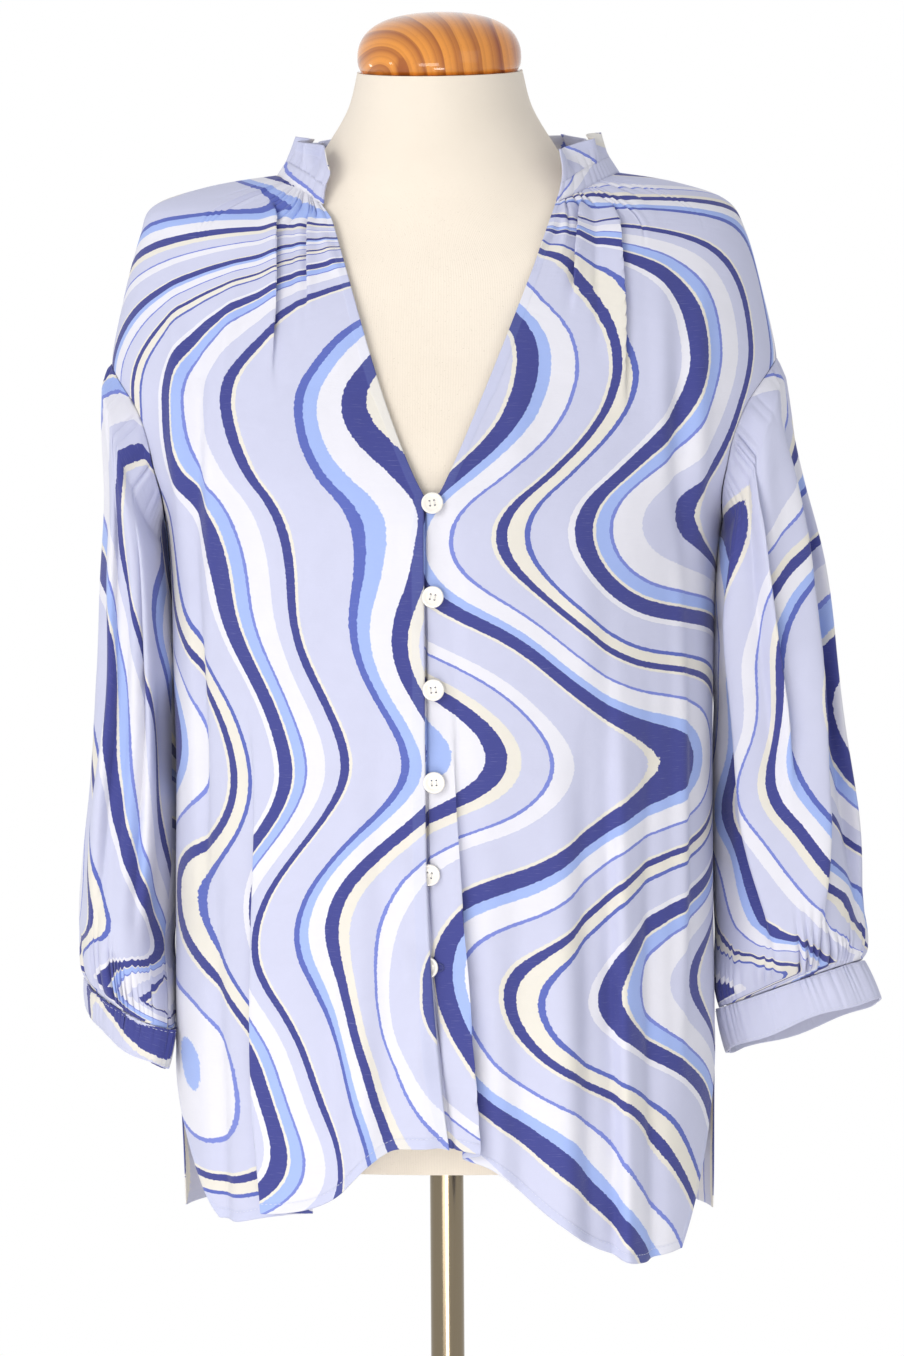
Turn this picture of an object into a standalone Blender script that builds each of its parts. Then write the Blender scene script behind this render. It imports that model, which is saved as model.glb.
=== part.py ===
"""A long-sleeve blouse worn by a limbless dress form that stands on a pole and a round base.

The blouse has a V neck, two fronts that close edge over edge with six buttons and loops, a back,
dropped shoulders, balloon sleeves gathered at the head and into a cuff, and a gathered stand
collar with a frill. The form fills the body of the blouse; the sleeves hang empty.

Units are metres. +Z is up, the front faces -Y and the wearer's left side is +X. The origin is
the middle of the base's underside. Left and right are the wearer's.
"""

import math
from collections import namedtuple

import bmesh
import bpy
from mathutils import Matrix, Vector

# ---------------------------------------------------------------- driving sizes
CLOTH = 0.0012  # wall of a single layer of cloth
CUFF_CLOTH = 0.0018  # wall of the doubled cuff and collar band
GAP = 0.0003  # space between pieces that touch

HEM_HEIGHT = 0.600  # height of ring 0, below every hem
SLIT_RING = 1.0  # the side slits end at this ring
UNDERARM_RING = 4.0  # lowest point of the armholes
SHOULDER_RING = 7.0  # highest point of the armholes, on the dropped shoulder
NECK_RING = 12.0  # neck seam
ARMHOLE_STEPS = 8  # rows of a panel between underarm and dropped shoulder
ARMHOLE_ANGLE = math.radians(25)  # half the armhole's width, as an angle on the ring

PANEL_COLUMNS = 20
BACK_COLUMNS = 26
SLEEVE_COLUMNS = 48

BUTTON_COUNT = 6
BUTTON_TOP = 1.1193  # height of the first button
BUTTON_PITCH = 0.0590
BUTTON_RADIUS = 0.0070
BUTTON_OFFSET = 0.0055  # from the right front's edge to a button's middle
UNDERLAP = 0.012  # how far the left front runs on under the right front
UNDERLAP_DROP = 0.0022  # how much lower the left front lies there
LEFT_SLIT = math.radians(31)  # how far each panel's corner swings away from the side seam
RIGHT_SLIT = math.radians(38)
BACK_SLIT = math.radians(7)

V_FOOT = 1.1245  # height where the neck starts to open
V_TOP = 1.3225  # height of the neck seam at the collar's front ends
V_FOOT_X = 0.004
V_SPREAD = 0.0725

BAND_SHARE = 0.40  # how much of the collar's height its band takes
FRILL_WAVES = 22
FRILL_SEGMENTS = 3  # faces along each wave of the frill

POLE_RADIUS = 0.0113
BASE_RADIUS = 0.150
BASE_HEIGHT = 0.008
FORM_FOOT = 0.686  # height of the form's underside
NECK_TOP = 1.4085  # height of the cut neck at its sides
NECK_SLANT = math.radians(10)

# A horizontal ring of the blouse's body, at its side. The front is lower by drop and the back
# higher by rise; shift moves the ring to the wearer's left and power is the exponent of the
# superellipse.
Ring = namedtuple("Ring", "height half_width front back drop rise shift power")
BODY_RINGS = (
    Ring(HEM_HEIGHT, 0.1800, 0.1400, 0.1330, 0.0000, 0.0000, 0.0000, 2.25),
    Ring(0.760, 0.1800, 0.1370, 0.1320, 0.0000, 0.0000, 0.0000, 2.25),
    Ring(0.900, 0.1790, 0.1345, 0.1200, 0.0000, 0.0000, 0.0000, 2.20),
    Ring(1.020, 0.1800, 0.1370, 0.1130, 0.0020, 0.0000, 0.0000, 2.15),
    Ring(1.108, 0.1850, 0.1380, 0.1120, 0.0060, 0.0000, 0.0010, 2.10),
    Ring(1.150, 0.2050, 0.1320, 0.1110, 0.0130, 0.0020, 0.0010, 2.05),
    Ring(1.185, 0.2170, 0.1225, 0.1080, 0.0210, 0.0050, 0.0015, 2.00),
    Ring(1.216, 0.2215, 0.1125, 0.1040, 0.0270, 0.0080, 0.0010, 2.00),
    Ring(1.262, 0.2125, 0.0995, 0.0970, 0.0340, 0.0100, 0.0005, 2.00),
    Ring(1.300, 0.2020, 0.0875, 0.0890, 0.0400, 0.0100, 0.0005, 2.00),
    Ring(1.3205, 0.1910, 0.0800, 0.0810, 0.0380, 0.0100, -0.0010, 2.00),
    Ring(1.3320, 0.1580, 0.0775, 0.0730, 0.0380, 0.0100, 0.0010, 2.00),
    Ring(1.3395, 0.1135, 0.0780, 0.0640, 0.0400, 0.0090, 0.0050, 2.00),
)

# The dress form, in the same terms. Its neck is cut off at a slant that falls to the front.
FORM_RINGS = (
    Ring(FORM_FOOT, 0.1660, 0.1020, 0.1120, 0.0000, 0.0000, 0.0, 2.2),
    Ring(0.720, 0.1690, 0.1070, 0.1160, 0.0000, 0.0000, 0.0, 2.2),
    Ring(0.760, 0.1670, 0.1100, 0.1150, 0.0000, 0.0000, 0.0, 2.2),
    Ring(0.830, 0.1530, 0.1060, 0.1020, 0.0000, 0.0000, 0.0, 2.2),
    Ring(0.900, 0.1370, 0.1010, 0.0850, 0.0000, 0.0000, 0.0, 2.1),
    Ring(0.960, 0.1340, 0.1040, 0.0800, 0.0000, 0.0000, 0.0, 2.1),
    Ring(1.020, 0.1460, 0.1170, 0.0860, 0.0000, 0.0000, 0.0, 2.1),
    Ring(1.080, 0.1580, 0.1290, 0.0930, 0.0000, 0.0000, 0.0, 2.1),
    Ring(1.130, 0.1660, 0.1300, 0.0970, 0.0160, 0.0000, 0.0, 2.1),
    Ring(1.180, 0.1770, 0.1240, 0.0980, 0.0320, 0.0020, 0.0, 2.1),
    Ring(1.230, 0.1880, 0.1105, 0.0940, 0.0460, 0.0060, 0.0, 2.1),
    Ring(1.270, 0.1920, 0.0972, 0.0870, 0.0520, 0.0100, 0.0, 2.1),
    Ring(1.299, 0.1880, 0.0866, 0.0800, 0.0520, 0.0100, 0.0, 2.1),
    Ring(1.3165, 0.1775, 0.0790, 0.0730, 0.0460, 0.0100, 0.0, 2.1),
    Ring(1.3280, 0.1470, 0.0720, 0.0660, 0.0360, 0.0100, 0.0, 2.0),
    Ring(1.3360, 0.1060, 0.0680, 0.0600, 0.0220, 0.0100, 0.0, 2.0),
    Ring(1.3480, 0.0850, 0.0670, 0.0570, 0.0120, 0.0060, 0.0, 2.0),
    Ring(1.3630, 0.0735, 0.0650, 0.0550, 0.0050, 0.0020, 0.0, 2.0),
    Ring(1.3850, 0.0610, 0.0620, 0.0520, 0.0000, 0.0000, 0.0, 2.0),
    Ring(NECK_TOP, 0.0550, 0.0590, 0.0500, 0.0000, 0.0000, 0.0, 2.0),
)

# A long fold of the body: it runs from one angle and ring to another, in degrees round the ring
# with 90 at the centre front. A depth below zero is a trough; width is its half width in degrees.
Fold = namedtuple("Fold", "top_ring top_angle foot_ring foot_angle width depth")
FRONT_LEFT_FOLDS = (
    Fold(4.0, 84.5, -1.0, 79.5, 3.0, -0.0050),
    Fold(2.6, 72.0, -1.0, 67.0, 4.5, 0.0035),
    Fold(3.4, 58.0, -1.0, 54.0, 4.5, -0.0060),
    Fold(2.8, 47.0, -1.0, 44.0, 4.0, 0.0050),
    Fold(3.6, 38.0, -1.0, 35.5, 4.0, -0.0055),
    Fold(5.2, 30.0, 1.2, 16.0, 6.0, 0.0030),
    Fold(12.5, 16.0, 7.0, 54.0, 5.0, 0.0042),
    Fold(12.5, 27.0, 8.6, 62.0, 4.0, -0.0042),
)
FRONT_RIGHT_FOLDS = (
    Fold(3.8, 123.0, -1.0, 121.0, 4.0, 0.0070),
    Fold(3.8, 131.5, -1.0, 129.5, 4.5, -0.0085),
    Fold(2.5, 108.0, -1.0, 106.0, 6.0, -0.0030),
    Fold(4.4, 146.0, -1.0, 142.0, 4.5, 0.0050),
    Fold(4.0, 156.0, 0.6, 154.0, 4.0, -0.0045),
    Fold(12.5, 163.0, 7.0, 124.0, 5.0, 0.0042),
    Fold(12.5, 152.0, 7.6, 119.0, 4.0, -0.0040),
)
BACK_FOLDS = (
    Fold(9.5, 270.0, -1.0, 270.0, 9.0, -0.0060),
    Fold(8.0, 250.0, -1.0, 247.0, 7.0, 0.0060),
    Fold(8.0, 291.0, -1.0, 294.0, 7.0, 0.0050),
    Fold(5.0, 229.0, -1.0, 226.0, 6.0, -0.0065),
    Fold(5.5, 313.0, -1.0, 315.0, 6.0, -0.0060),
    Fold(3.4, 209.0, -1.0, 208.0, 6.0, 0.0050),
    Fold(3.2, 332.0, -1.0, 333.0, 6.0, 0.0050),
)

# A ring of a sleeve, by its outermost and innermost points beside the body, its half depth
# front and back, how far forward it hangs, how much its front is lifted and how far it turns
# its inner end to the front.
SleeveRing = namedtuple("SleeveRing", "outer_x outer_z inner_x inner_z depth forward lift turn")
LEFT_SLEEVE_RINGS = (
    SleeveRing(0.2280, 1.2030, 0.1875, 1.0930, 0.0640, 0.000, 0.000, 0.000),
    SleeveRing(0.2325, 1.1780, 0.1855, 1.0720, 0.0690, -0.002, 0.000, 0.000),
    SleeveRing(0.2405, 1.1300, 0.1834, 1.0350, 0.0720, -0.012, 0.000, 0.000),
    SleeveRing(0.2510, 1.0700, 0.1810, 0.9900, 0.0730, -0.022, 0.000, 0.000),
    SleeveRing(0.2610, 1.0000, 0.1796, 0.9400, 0.0740, -0.028, 0.000, 0.000),
    SleeveRing(0.2710, 0.9250, 0.1792, 0.8850, 0.0730, -0.028, 0.000, 0.000),
    SleeveRing(0.2785, 0.8620, 0.1812, 0.8300, 0.0680, -0.024, 0.000, 0.000),
    SleeveRing(0.2815, 0.8360, 0.1830, 0.8060, 0.0540, -0.014, 0.002, 0.000),
    SleeveRing(0.2800, 0.8210, 0.1850, 0.7900, 0.0370, -0.008, 0.004, 0.000),
    SleeveRing(0.2785, 0.8140, 0.1870, 0.7820, 0.0280, -0.006, 0.005, 0.000),
)
LEFT_CUFF_RINGS = (
    SleeveRing(0.2785, 0.8131, 0.1870, 0.7811, 0.0280, -0.006, 0.005, 0.000),
    SleeveRing(0.2900, 0.7870, 0.1930, 0.7530, 0.0270, -0.004, 0.007, 0.000),
)
RIGHT_SLEEVE_RINGS = (
    SleeveRing(0.2255, 1.2030, 0.1875, 1.0930, 0.0640, 0.000, 0.000, 0.000),
    SleeveRing(0.2250, 1.1780, 0.1855, 1.0720, 0.0690, -0.002, 0.000, 0.000),
    SleeveRing(0.2225, 1.1300, 0.1834, 1.0350, 0.0730, -0.010, 0.000, 0.000),
    SleeveRing(0.2270, 1.0700, 0.1814, 0.9900, 0.0750, -0.018, 0.000, 0.000),
    SleeveRing(0.2315, 1.0000, 0.1808, 0.9450, 0.0770, -0.022, 0.000, 0.000),
    SleeveRing(0.2415, 0.9250, 0.1808, 0.8850, 0.0770, -0.022, 0.000, 0.004),
    SleeveRing(0.2485, 0.8600, 0.1840, 0.8300, 0.0730, -0.014, 0.000, 0.012),
    SleeveRing(0.2485, 0.8280, 0.1840, 0.8000, 0.0610, -0.004, 0.000, 0.020),
    SleeveRing(0.2470, 0.8110, 0.1830, 0.7830, 0.0480, 0.004, 0.000, 0.026),
    SleeveRing(0.2460, 0.8020, 0.1820, 0.7740, 0.0400, 0.008, 0.000, 0.030),
)
RIGHT_CUFF_RINGS = (
    SleeveRing(0.2460, 0.8011, 0.1820, 0.7731, 0.0400, 0.008, 0.000, 0.030),
    SleeveRing(0.2450, 0.7820, 0.1870, 0.7490, 0.0390, 0.012, 0.000, 0.032),
)
CUFF_SLIT_RINGS = 3  # the sleeve is open along its slit below this many rings from the cuff
CUFF_SLIT_SPREAD = 0.0030  # how far apart the slit's edges stand at the cuff
RIGHT_SLIT_COLUMN = 21  # just in front of the sleeve's innermost line
LEFT_SLIT_COLUMN = 27  # just behind it

# Colours: cloth, loops, buttons, form, wood and steel.
LAVENDER = (0.72, 0.74, 0.93)
NAVY = (0.06, 0.07, 0.25)
SHELL_WHITE = (0.93, 0.91, 0.86)
CALICO = (0.90, 0.83, 0.72)
VARNISHED_PINE = (0.62, 0.27, 0.07)
STEEL = (0.55, 0.52, 0.47)


# ---------------------------------------------------------------- small helpers
def clear_scene():
    """Removes every object that the startup file holds."""
    for found in list(bpy.data.objects):
        bpy.data.objects.remove(found, do_unlink=True)


def material(name, colour, roughness, metallic=0.0):
    """A plain Principled BSDF finish."""
    made = bpy.data.materials.new(name)
    made.use_nodes = True
    shader = made.node_tree.nodes["Principled BSDF"]
    shader.inputs["Base Color"].default_value = (*colour, 1.0)
    shader.inputs["Roughness"].default_value = roughness
    shader.inputs["Metallic"].default_value = metallic
    return made


def smooth_step(x):
    """0 below 0, 1 above 1 and an S between them."""
    x = min(max(x, 0.0), 1.0)
    return x * x * (3.0 - 2.0 * x)


def signed_power(x, power):
    """x to a power, keeping its sign."""
    return math.copysign(abs(x) ** power, x)


def uneven(index, seed):
    """A number from -1 to 1 that looks random but is the same each run."""
    return math.sin(12.9898 * index + 78.233 * seed + 1.3) * math.cos(4.1 * index + seed)


def table_row(rows, position):
    """The rows of a table read as one smooth curve, at a fractional position (Catmull-Rom)."""
    last = len(rows) - 1
    first = min(max(int(math.floor(position)), 0), last - 1)
    share = position - first
    before, here = rows[max(first - 1, 0)], rows[first]
    there, after = rows[first + 1], rows[min(first + 2, last)]
    if share < 0.0 or share > 1.0:  # past either end the curve runs on straight
        return type(here)(*(a + (b - a) * share for a, b in zip(here, there)))
    values = []
    for p0, p1, p2, p3 in zip(before, here, there, after):
        bend = (2 * p0 - 5 * p1 + 4 * p2 - p3) * share**2 + (3 * p1 - p0 - 3 * p2 + p3) * share**3
        values.append(p1 + 0.5 * ((p2 - p0) * share + bend))
    return type(here)(*values)


def ring_point(rings, position, angle, outward=0.0):
    """A point of a ring. Angle 0 is the wearer's left side and 90 degrees the centre front."""
    ring = table_row(rings, position)
    across = signed_power(math.cos(angle), 2 / ring.power)
    ahead = signed_power(math.sin(angle), 2 / ring.power)
    depth = ring.front if ahead > 0 else ring.back
    lift = -ring.drop if ahead > 0 else ring.rise
    x, y = ring.half_width * across, -depth * ahead
    normal = Vector((x / ring.half_width**2, y / depth**2, 0)).normalized()
    place = Vector((x + ring.shift, y, ring.height + lift * math.sin(angle) ** 2))
    return place + normal * outward


def angle_of_x(rings, position, x):
    """The angle on a ring's front where it crosses x."""
    ring = table_row(rings, position)
    share = max(-1.0, min(1.0, (x - ring.shift) / ring.half_width))
    return math.acos(signed_power(share, ring.power / 2))


# ---------------------------------------------------------------- meshes
def new_object(name, mesh_builder, finish, crease_degrees=40):
    """Turns a bmesh into a named object with one material."""
    bmesh.ops.recalc_face_normals(mesh_builder, faces=mesh_builder.faces)
    mesh = bpy.data.meshes.new(name)
    mesh_builder.to_mesh(mesh)
    mesh_builder.free()
    mesh.materials.append(finish)
    mesh.shade_smooth()
    mesh.set_sharp_from_angle(angle=math.radians(crease_degrees))
    made = bpy.data.objects.new(name, mesh)
    bpy.context.scene.collection.objects.link(made)
    return made


def sheet(name, columns, rows, point, thickness, finish, joined=lambda row: False):
    """A wall of cloth: a grid of points given a thickness.

    point(column, row) gives the middle of the wall. joined(row) says whether the first and last
    columns are one at that row, as on a tube.
    """
    grid = bmesh.new()
    corners = [
        [grid.verts.new(point(column, row)) for column in range(columns + 1)]
        for row in range(rows + 1)
    ]
    for low, high in zip(corners, corners[1:]):
        for column in range(columns):
            grid.faces.new(
                (low[column], low[column + 1], high[column + 1], high[column])
            )
    pairs = {
        line[-1]: line[0] for row, line in enumerate(corners) if joined(row)
    }
    bmesh.ops.weld_verts(grid, targetmap=pairs)
    made = new_object(name, grid, finish, crease_degrees=60)
    wall = made.modifiers.new("wall", "SOLIDIFY")
    wall.thickness = thickness
    wall.offset = 0.0
    return made


def lofted(name, rings, columns, point, finish):
    """A closed body through rings of points, with a flat face at each end."""
    loft = bmesh.new()
    loops = [[loft.verts.new(point(ring, column)) for column in range(columns)] for ring in rings]
    for low, high in zip(loops, loops[1:]):
        for column in range(columns):
            beside = (column + 1) % columns
            loft.faces.new((low[column], low[beside], high[beside], high[column]))
    loft.faces.new(loops[0])
    loft.faces.new(loops[-1])
    return new_object(name, loft, finish)


def turned(name, profile, segments, finish, crease_degrees=40):
    """A closed body turned about its own Z axis from (radius, height) points."""
    lathe = bmesh.new()
    line = [lathe.verts.new((radius, 0.0, height)) for radius, height in profile]
    edges = [lathe.edges.new(pair) for pair in zip(line, line[1:])]
    bmesh.ops.spin(
        lathe, geom=line + edges, cent=(0, 0, 0), axis=(0, 0, 1),
        angle=math.tau, steps=segments, use_merge=True,
    )
    bmesh.ops.remove_doubles(lathe, verts=lathe.verts, dist=1e-6)
    return new_object(name, lathe, finish, crease_degrees)


# ---------------------------------------------------------------- the body's surface
def closing_x(height):
    """Where the right front's edge runs, from straight above to swung left at the hem."""
    swing = max(0.0, (0.92 - height) / 0.23)
    return -0.0045 + 0.0165 * swing**2


def v_half_width(height):
    """Half the width of the V neck at a height."""
    share = max(0.0, (height - V_FOOT) / (V_TOP - V_FOOT))
    return V_FOOT_X + V_SPREAD * share**0.85


def front_edge_angle(position, side):
    """The angle of a front's inner edge on a ring. side is 1 for the left front, -1 for the right."""
    angle = math.pi / 2
    for _ in range(12):
        height = ring_point(BODY_RINGS, position, angle).z
        opening = side * v_half_width(height) + 0.004 * smooth_step((height - 1.16) / 0.15)
        under = closing_x(height) - (UNDERLAP if side > 0 else 0.0)
        x = under + (opening - under) * smooth_step((height - V_FOOT + 0.008) / 0.010)
        angle = angle_of_x(BODY_RINGS, position, x)
    return angle


def armhole_angle(position):
    """Half the armhole's width on a ring, as an angle."""
    middle = (UNDERARM_RING + SHOULDER_RING) / 2
    reach = (SHOULDER_RING - UNDERARM_RING) / 2
    share = 1.0 - ((position - middle) / reach) ** 2
    return ARMHOLE_ANGLE * math.sqrt(max(0.0, share))


def side_gap_angle(position):
    """Half the seam gap between front and back, as an angle."""
    return 0.55 * GAP / table_row(BODY_RINGS, position).front


def hem_ring(angle):
    """How high the hem runs, as a ring position: raised at centre front and back."""
    across = abs(math.cos(angle))
    if math.sin(angle) < 0:
        height = 0.682 - 0.026 * smooth_step((across - 0.2) / 0.6)
    elif math.cos(angle) > 0:
        height = 0.714 - 0.0735 * smooth_step((across + 0.10) / 0.75)
        height += 0.006 * smooth_step((across - 0.70) / 0.15)
    else:
        height = 0.7125 - 0.0375 * smooth_step((across - 0.17) / 0.28)
        height -= 0.009 * smooth_step((across - 0.55) / 0.20)
    return (height - HEM_HEIGHT) / (BODY_RINGS[1].height - HEM_HEIGHT)


def slit_angle(level, opening):
    """How far a panel's side edge swings away from the side seam below the slit's top."""
    return opening * max(0.0, SLIT_RING - level) ** 0.9


def fold_depth(folds, position, degrees):
    """The outward displacement that the long folds add at a point."""
    total = 0.0
    for fold in folds:
        length = fold.top_ring - fold.foot_ring
        along = (fold.top_ring - position) / length
        if along < 0.0 or along > 1.0:
            continue
        middle = fold.top_angle + (fold.foot_angle - fold.top_angle) * along
        off = (degrees - middle) / fold.width
        # It fades in over its first part; one that leaves the body at the hem keeps its depth.
        fade = smooth_step(along / 0.45)
        if fold.foot_ring > 0:
            fade *= smooth_step((1.0 - along) / 0.4)
        total += fold.depth * math.exp(-off * off) * fade
    return total


def gather_depth(position, column, edge_column):
    """Small gathers that run down from the neck seam: alternate columns stand in and out."""
    below = NECK_RING - position
    size = 0.0021 * smooth_step(below / 0.5) * (1.0 - smooth_step((below - 1.2) / 3.2))
    edge = smooth_step((edge_column - column) / 2.0) * smooth_step((column - 1.0) / 3.0)
    return size * edge * (1 if column % 2 else -1) * (0.75 + 0.25 * uneven(column, 3))


def armhole_rows():
    """Ring positions of the panel rows from underarm to dropped shoulder."""
    middle = (UNDERARM_RING + SHOULDER_RING) / 2
    reach = (SHOULDER_RING - UNDERARM_RING) / 2
    steps = range(ARMHOLE_STEPS + 1)
    return [middle - reach * math.cos(math.pi * step / ARMHOLE_STEPS) for step in steps]


def panel_levels():
    """Ring positions of all rows of a front or back, the first at the hem."""
    below = [0.0, 0.5, SLIT_RING, 1.6, 2.2, 2.8, 3.4]
    above = [7.6, 8.2, 8.8, 9.4, 10.0, 10.6, 11.1, 11.6, NECK_RING]
    return below + armhole_rows() + above


PANEL_LEVELS = panel_levels()


def row_position(level, angle):
    """The ring position of a panel's row; the lowest rows follow the hem's curve."""
    if level >= SLIT_RING:
        return level
    hem = hem_ring(angle)
    return hem + (SLIT_RING - hem) * level / SLIT_RING


def side_edge_angle(level):
    """How far a panel's side edge is from the side line: slit, side seam, armhole or shoulder."""
    if UNDERARM_RING < level < SHOULDER_RING:
        return armhole_angle(level)
    return 0.0


def panel_point(level, angle, folds, column, edge_column, drop=0.0):
    """A point of a front or back panel, with its folds and gathers."""
    position = row_position(level, angle)
    degrees = math.degrees(angle) % 360
    # Folds and gathers die out at the side seam and armhole, so that the seams meet.
    from_side = min(abs(degrees), abs(degrees - 180), abs(degrees - 360))
    from_side -= math.degrees(side_edge_angle(level))
    calm = smooth_step(from_side / 9.0) if level >= SLIT_RING else 1.0
    outward = calm * fold_depth(folds, position, degrees)
    outward += gather_depth(position, column, edge_column)
    return ring_point(BODY_RINGS, position, angle, outward - drop)


def front_point(column, row, side):
    """A point of a front. Column 0 is its side edge and the last column its inner edge."""
    level = PANEL_LEVELS[row]
    share = column / PANEL_COLUMNS
    start = side_edge_angle(level) + side_gap_angle(level)
    start += slit_angle(level, LEFT_SLIT if side > 0 else RIGHT_SLIT)
    stop = front_edge_angle(row_position(level, math.pi / 2), side)
    if side < 0:
        start = math.pi - start
    angle = start + (stop - start) * share
    folds = FRONT_LEFT_FOLDS if side > 0 else FRONT_RIGHT_FOLDS
    drop = 0.0
    if side > 0:  # the left front dips where it runs under the right front
        point = panel_point(level, angle, folds, column, PANEL_COLUMNS)
        reach = (closing_x(point.z) + 0.020 - point.x) / 0.012
        drop = UNDERLAP_DROP * smooth_step(reach) * smooth_step((V_FOOT + 0.03 - point.z) / 0.02)
    return panel_point(level, angle, folds, column, PANEL_COLUMNS, drop)


def back_point(column, row):
    """A point of the back. Column 0 is its left edge and the last column its right edge."""
    level = PANEL_LEVELS[row]
    edge = side_edge_angle(level) + side_gap_angle(level) + slit_angle(level, BACK_SLIT)
    angle = -edge - (math.pi - 2 * edge) * column / BACK_COLUMNS
    return panel_point(level, angle, BACK_FOLDS, column, BACK_COLUMNS)


# ---------------------------------------------------------------- sleeves and cuffs
def armhole_point(column, side):
    """The seam line of an armhole, read off the panels' own rows so that the edges match.

    Column 0 is the top, a quarter of the columns the front and half of them the underarm.
    """
    rows = armhole_rows()
    step = 2 * ARMHOLE_STEPS * column / SLEEVE_COLUMNS
    low = int(math.floor(step))
    ends = []
    for corner in (low, low + 1):
        corner %= 2 * ARMHOLE_STEPS
        front = corner <= ARMHOLE_STEPS
        position = rows[ARMHOLE_STEPS - corner] if front else rows[corner - ARMHOLE_STEPS]
        angle = armhole_angle(position) * (1 if front else -1)
        ends.append(ring_point(BODY_RINGS, position, angle if side > 0 else math.pi - angle))
    point = ends[0].lerp(ends[1], step - low)
    phase = math.tau * column / SLEEVE_COLUMNS
    # The sleeve starts just outside the seam, and well clear of the side seam at the underarm.
    beside = 2.9 * GAP + 5.0 * GAP * max(0.0, -math.cos(phase))
    return point + Vector((side * beside, 0, -1.3 * GAP))


def sleeve_ring_point(ring, phase, side, outward=0.0):
    """A point of a sleeve ring. Phase 0 is the outermost point and 90 degrees the front."""
    outer = Vector((ring.outer_x, 0, ring.outer_z))
    inner = Vector((ring.inner_x, 0, ring.inner_z))
    half = (outer - inner) / 2
    middle = (outer + inner) / 2
    across, ahead = math.cos(phase), math.sin(phase)
    normal = Vector((across * ring.depth, -ahead * half.length, 0)).normalized()
    ahead_y = -ring.depth * ahead - ring.forward + ring.turn * across
    point = middle + half * across + Vector((0, ahead_y, ring.lift * ahead))
    point += Vector((normal.x, normal.y, 0)) * outward
    point.x *= side
    return point


def sleeve_fold(row, rows, column, seed):
    """Outward displacement of a sleeve: gathers at head and cuff, long soft folds between."""
    phase = math.tau * column / SLEEVE_COLUMNS
    share = row / rows
    near_head = smooth_step(share / 0.08) * (1.0 - smooth_step(share / 0.5))
    near_cuff = smooth_step((share - 0.62) / 0.25) * (1.0 - smooth_step((share - 0.9) / 0.1))
    tooth = (1 if column % 2 else -1) * (0.8 + 0.2 * uneven(column % SLEEVE_COLUMNS, seed))
    long_fold = 0.6 * math.cos(11 * phase + seed) + 0.4 * math.cos(7 * phase + 2.1 * seed)
    body = smooth_step(share / 0.35) * (1.0 - smooth_step((share - 0.7) / 0.25))
    # The side next to the body stays calm, so that it clears the side seam.
    calm = 0.10 + 0.90 * smooth_step((1.0 + math.cos(phase)) / 0.9)
    return calm * (tooth * (0.0021 * near_head + 0.0021 * near_cuff) + 0.0036 * body * long_fold)


def sleeve(name, rings, side, slit_column, finish):
    """A sleeve: a tube from the armhole down, open along its slit above the cuff."""
    rows = len(rings)
    slit_row = rows - CUFF_SLIT_RINGS

    def point(column, row):
        turned_column = column + slit_column
        phase = math.tau * turned_column / SLEEVE_COLUMNS
        if row == 0:
            return armhole_point(turned_column % SLEEVE_COLUMNS, side)
        apart = CUFF_SLIT_SPREAD / 2 * max(0, row - slit_row) / CUFF_SLIT_RINGS
        if column in (0, SLEEVE_COLUMNS):
            phase += (apart if column == 0 else -apart) / rings[row - 1].depth
        fold = sleeve_fold(row, rows, turned_column % SLEEVE_COLUMNS, 1.7 if side > 0 else 4.2)
        return sleeve_ring_point(rings[row - 1], phase, side, fold)

    return sheet(name, SLEEVE_COLUMNS, rows, point, CLOTH, finish, joined=lambda row: row <= slit_row)


def cuff(name, rings, side, slit_column, finish):
    """A doubled band round the wrist whose end laps over its start."""
    lap = 4  # columns by which the cuff's end laps its start
    columns = SLEEVE_COLUMNS + lap

    def point(column, row):
        phase = math.tau * (column + slit_column - lap / 2) / SLEEVE_COLUMNS
        raised = (CUFF_CLOTH + 2 * GAP) * smooth_step((column - SLEEVE_COLUMNS + 3) / 3)
        low = rings[0] if row == 0 else rings[1]
        return sleeve_ring_point(low, phase, side, raised)

    return sheet(name, columns, 1, point, CUFF_CLOTH, finish)


# ---------------------------------------------------------------- collar
def collar_angle(share):
    """The angle on the neck ring, from the left front end round the back to the right one."""
    start = front_edge_angle(NECK_RING, 1)
    return start - (2 * start + math.pi) * share


def collar_point(share, height):
    """A point of the collar's middle surface, a height share from the neck seam (0) to its top."""
    angle = collar_angle(share)
    base = ring_point(BODY_RINGS, NECK_RING, angle)
    beside = math.cos(angle) ** 2
    rise = 0.0245 + 0.0055 * smooth_step(math.sin(angle) / 0.75)
    lean = 0.004 + 0.012 * beside - 0.006 * smooth_step(math.sin(angle))
    inward = Vector((-base.x, -base.y, 0)).normalized()
    return base + Vector((0, 0, rise * height)) + inward * lean * height


def collar_band(finish):
    """The stand of the collar, from the neck seam up."""
    columns = 44
    foot = 0.060  # clears the panels' top edges

    def point(column, row):
        top = BAND_SHARE
        return collar_point(column / columns, foot + (top - foot) * row)

    return sheet("collar_band", columns, 1, point, CUFF_CLOTH, finish)


def collar_frill(finish):
    """The gathered frill that stands on the band, waving more towards its edge."""
    columns = FRILL_WAVES * FRILL_SEGMENTS
    low = BAND_SHARE + 0.030

    def point(column, row):
        share = column / columns
        wave = math.cos(math.tau * column / FRILL_SEGMENTS + 0.5 * uneven(column, 5))
        angle = collar_angle(share)
        outward = Vector((math.cos(angle), -math.sin(angle), 0))
        swell = 0.0022 * (row / 2) * wave
        return collar_point(share, low + (1.0 - low) * row / 2) + outward * swell

    return sheet("collar_frill", columns, 2, point, CLOTH, finish)


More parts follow.
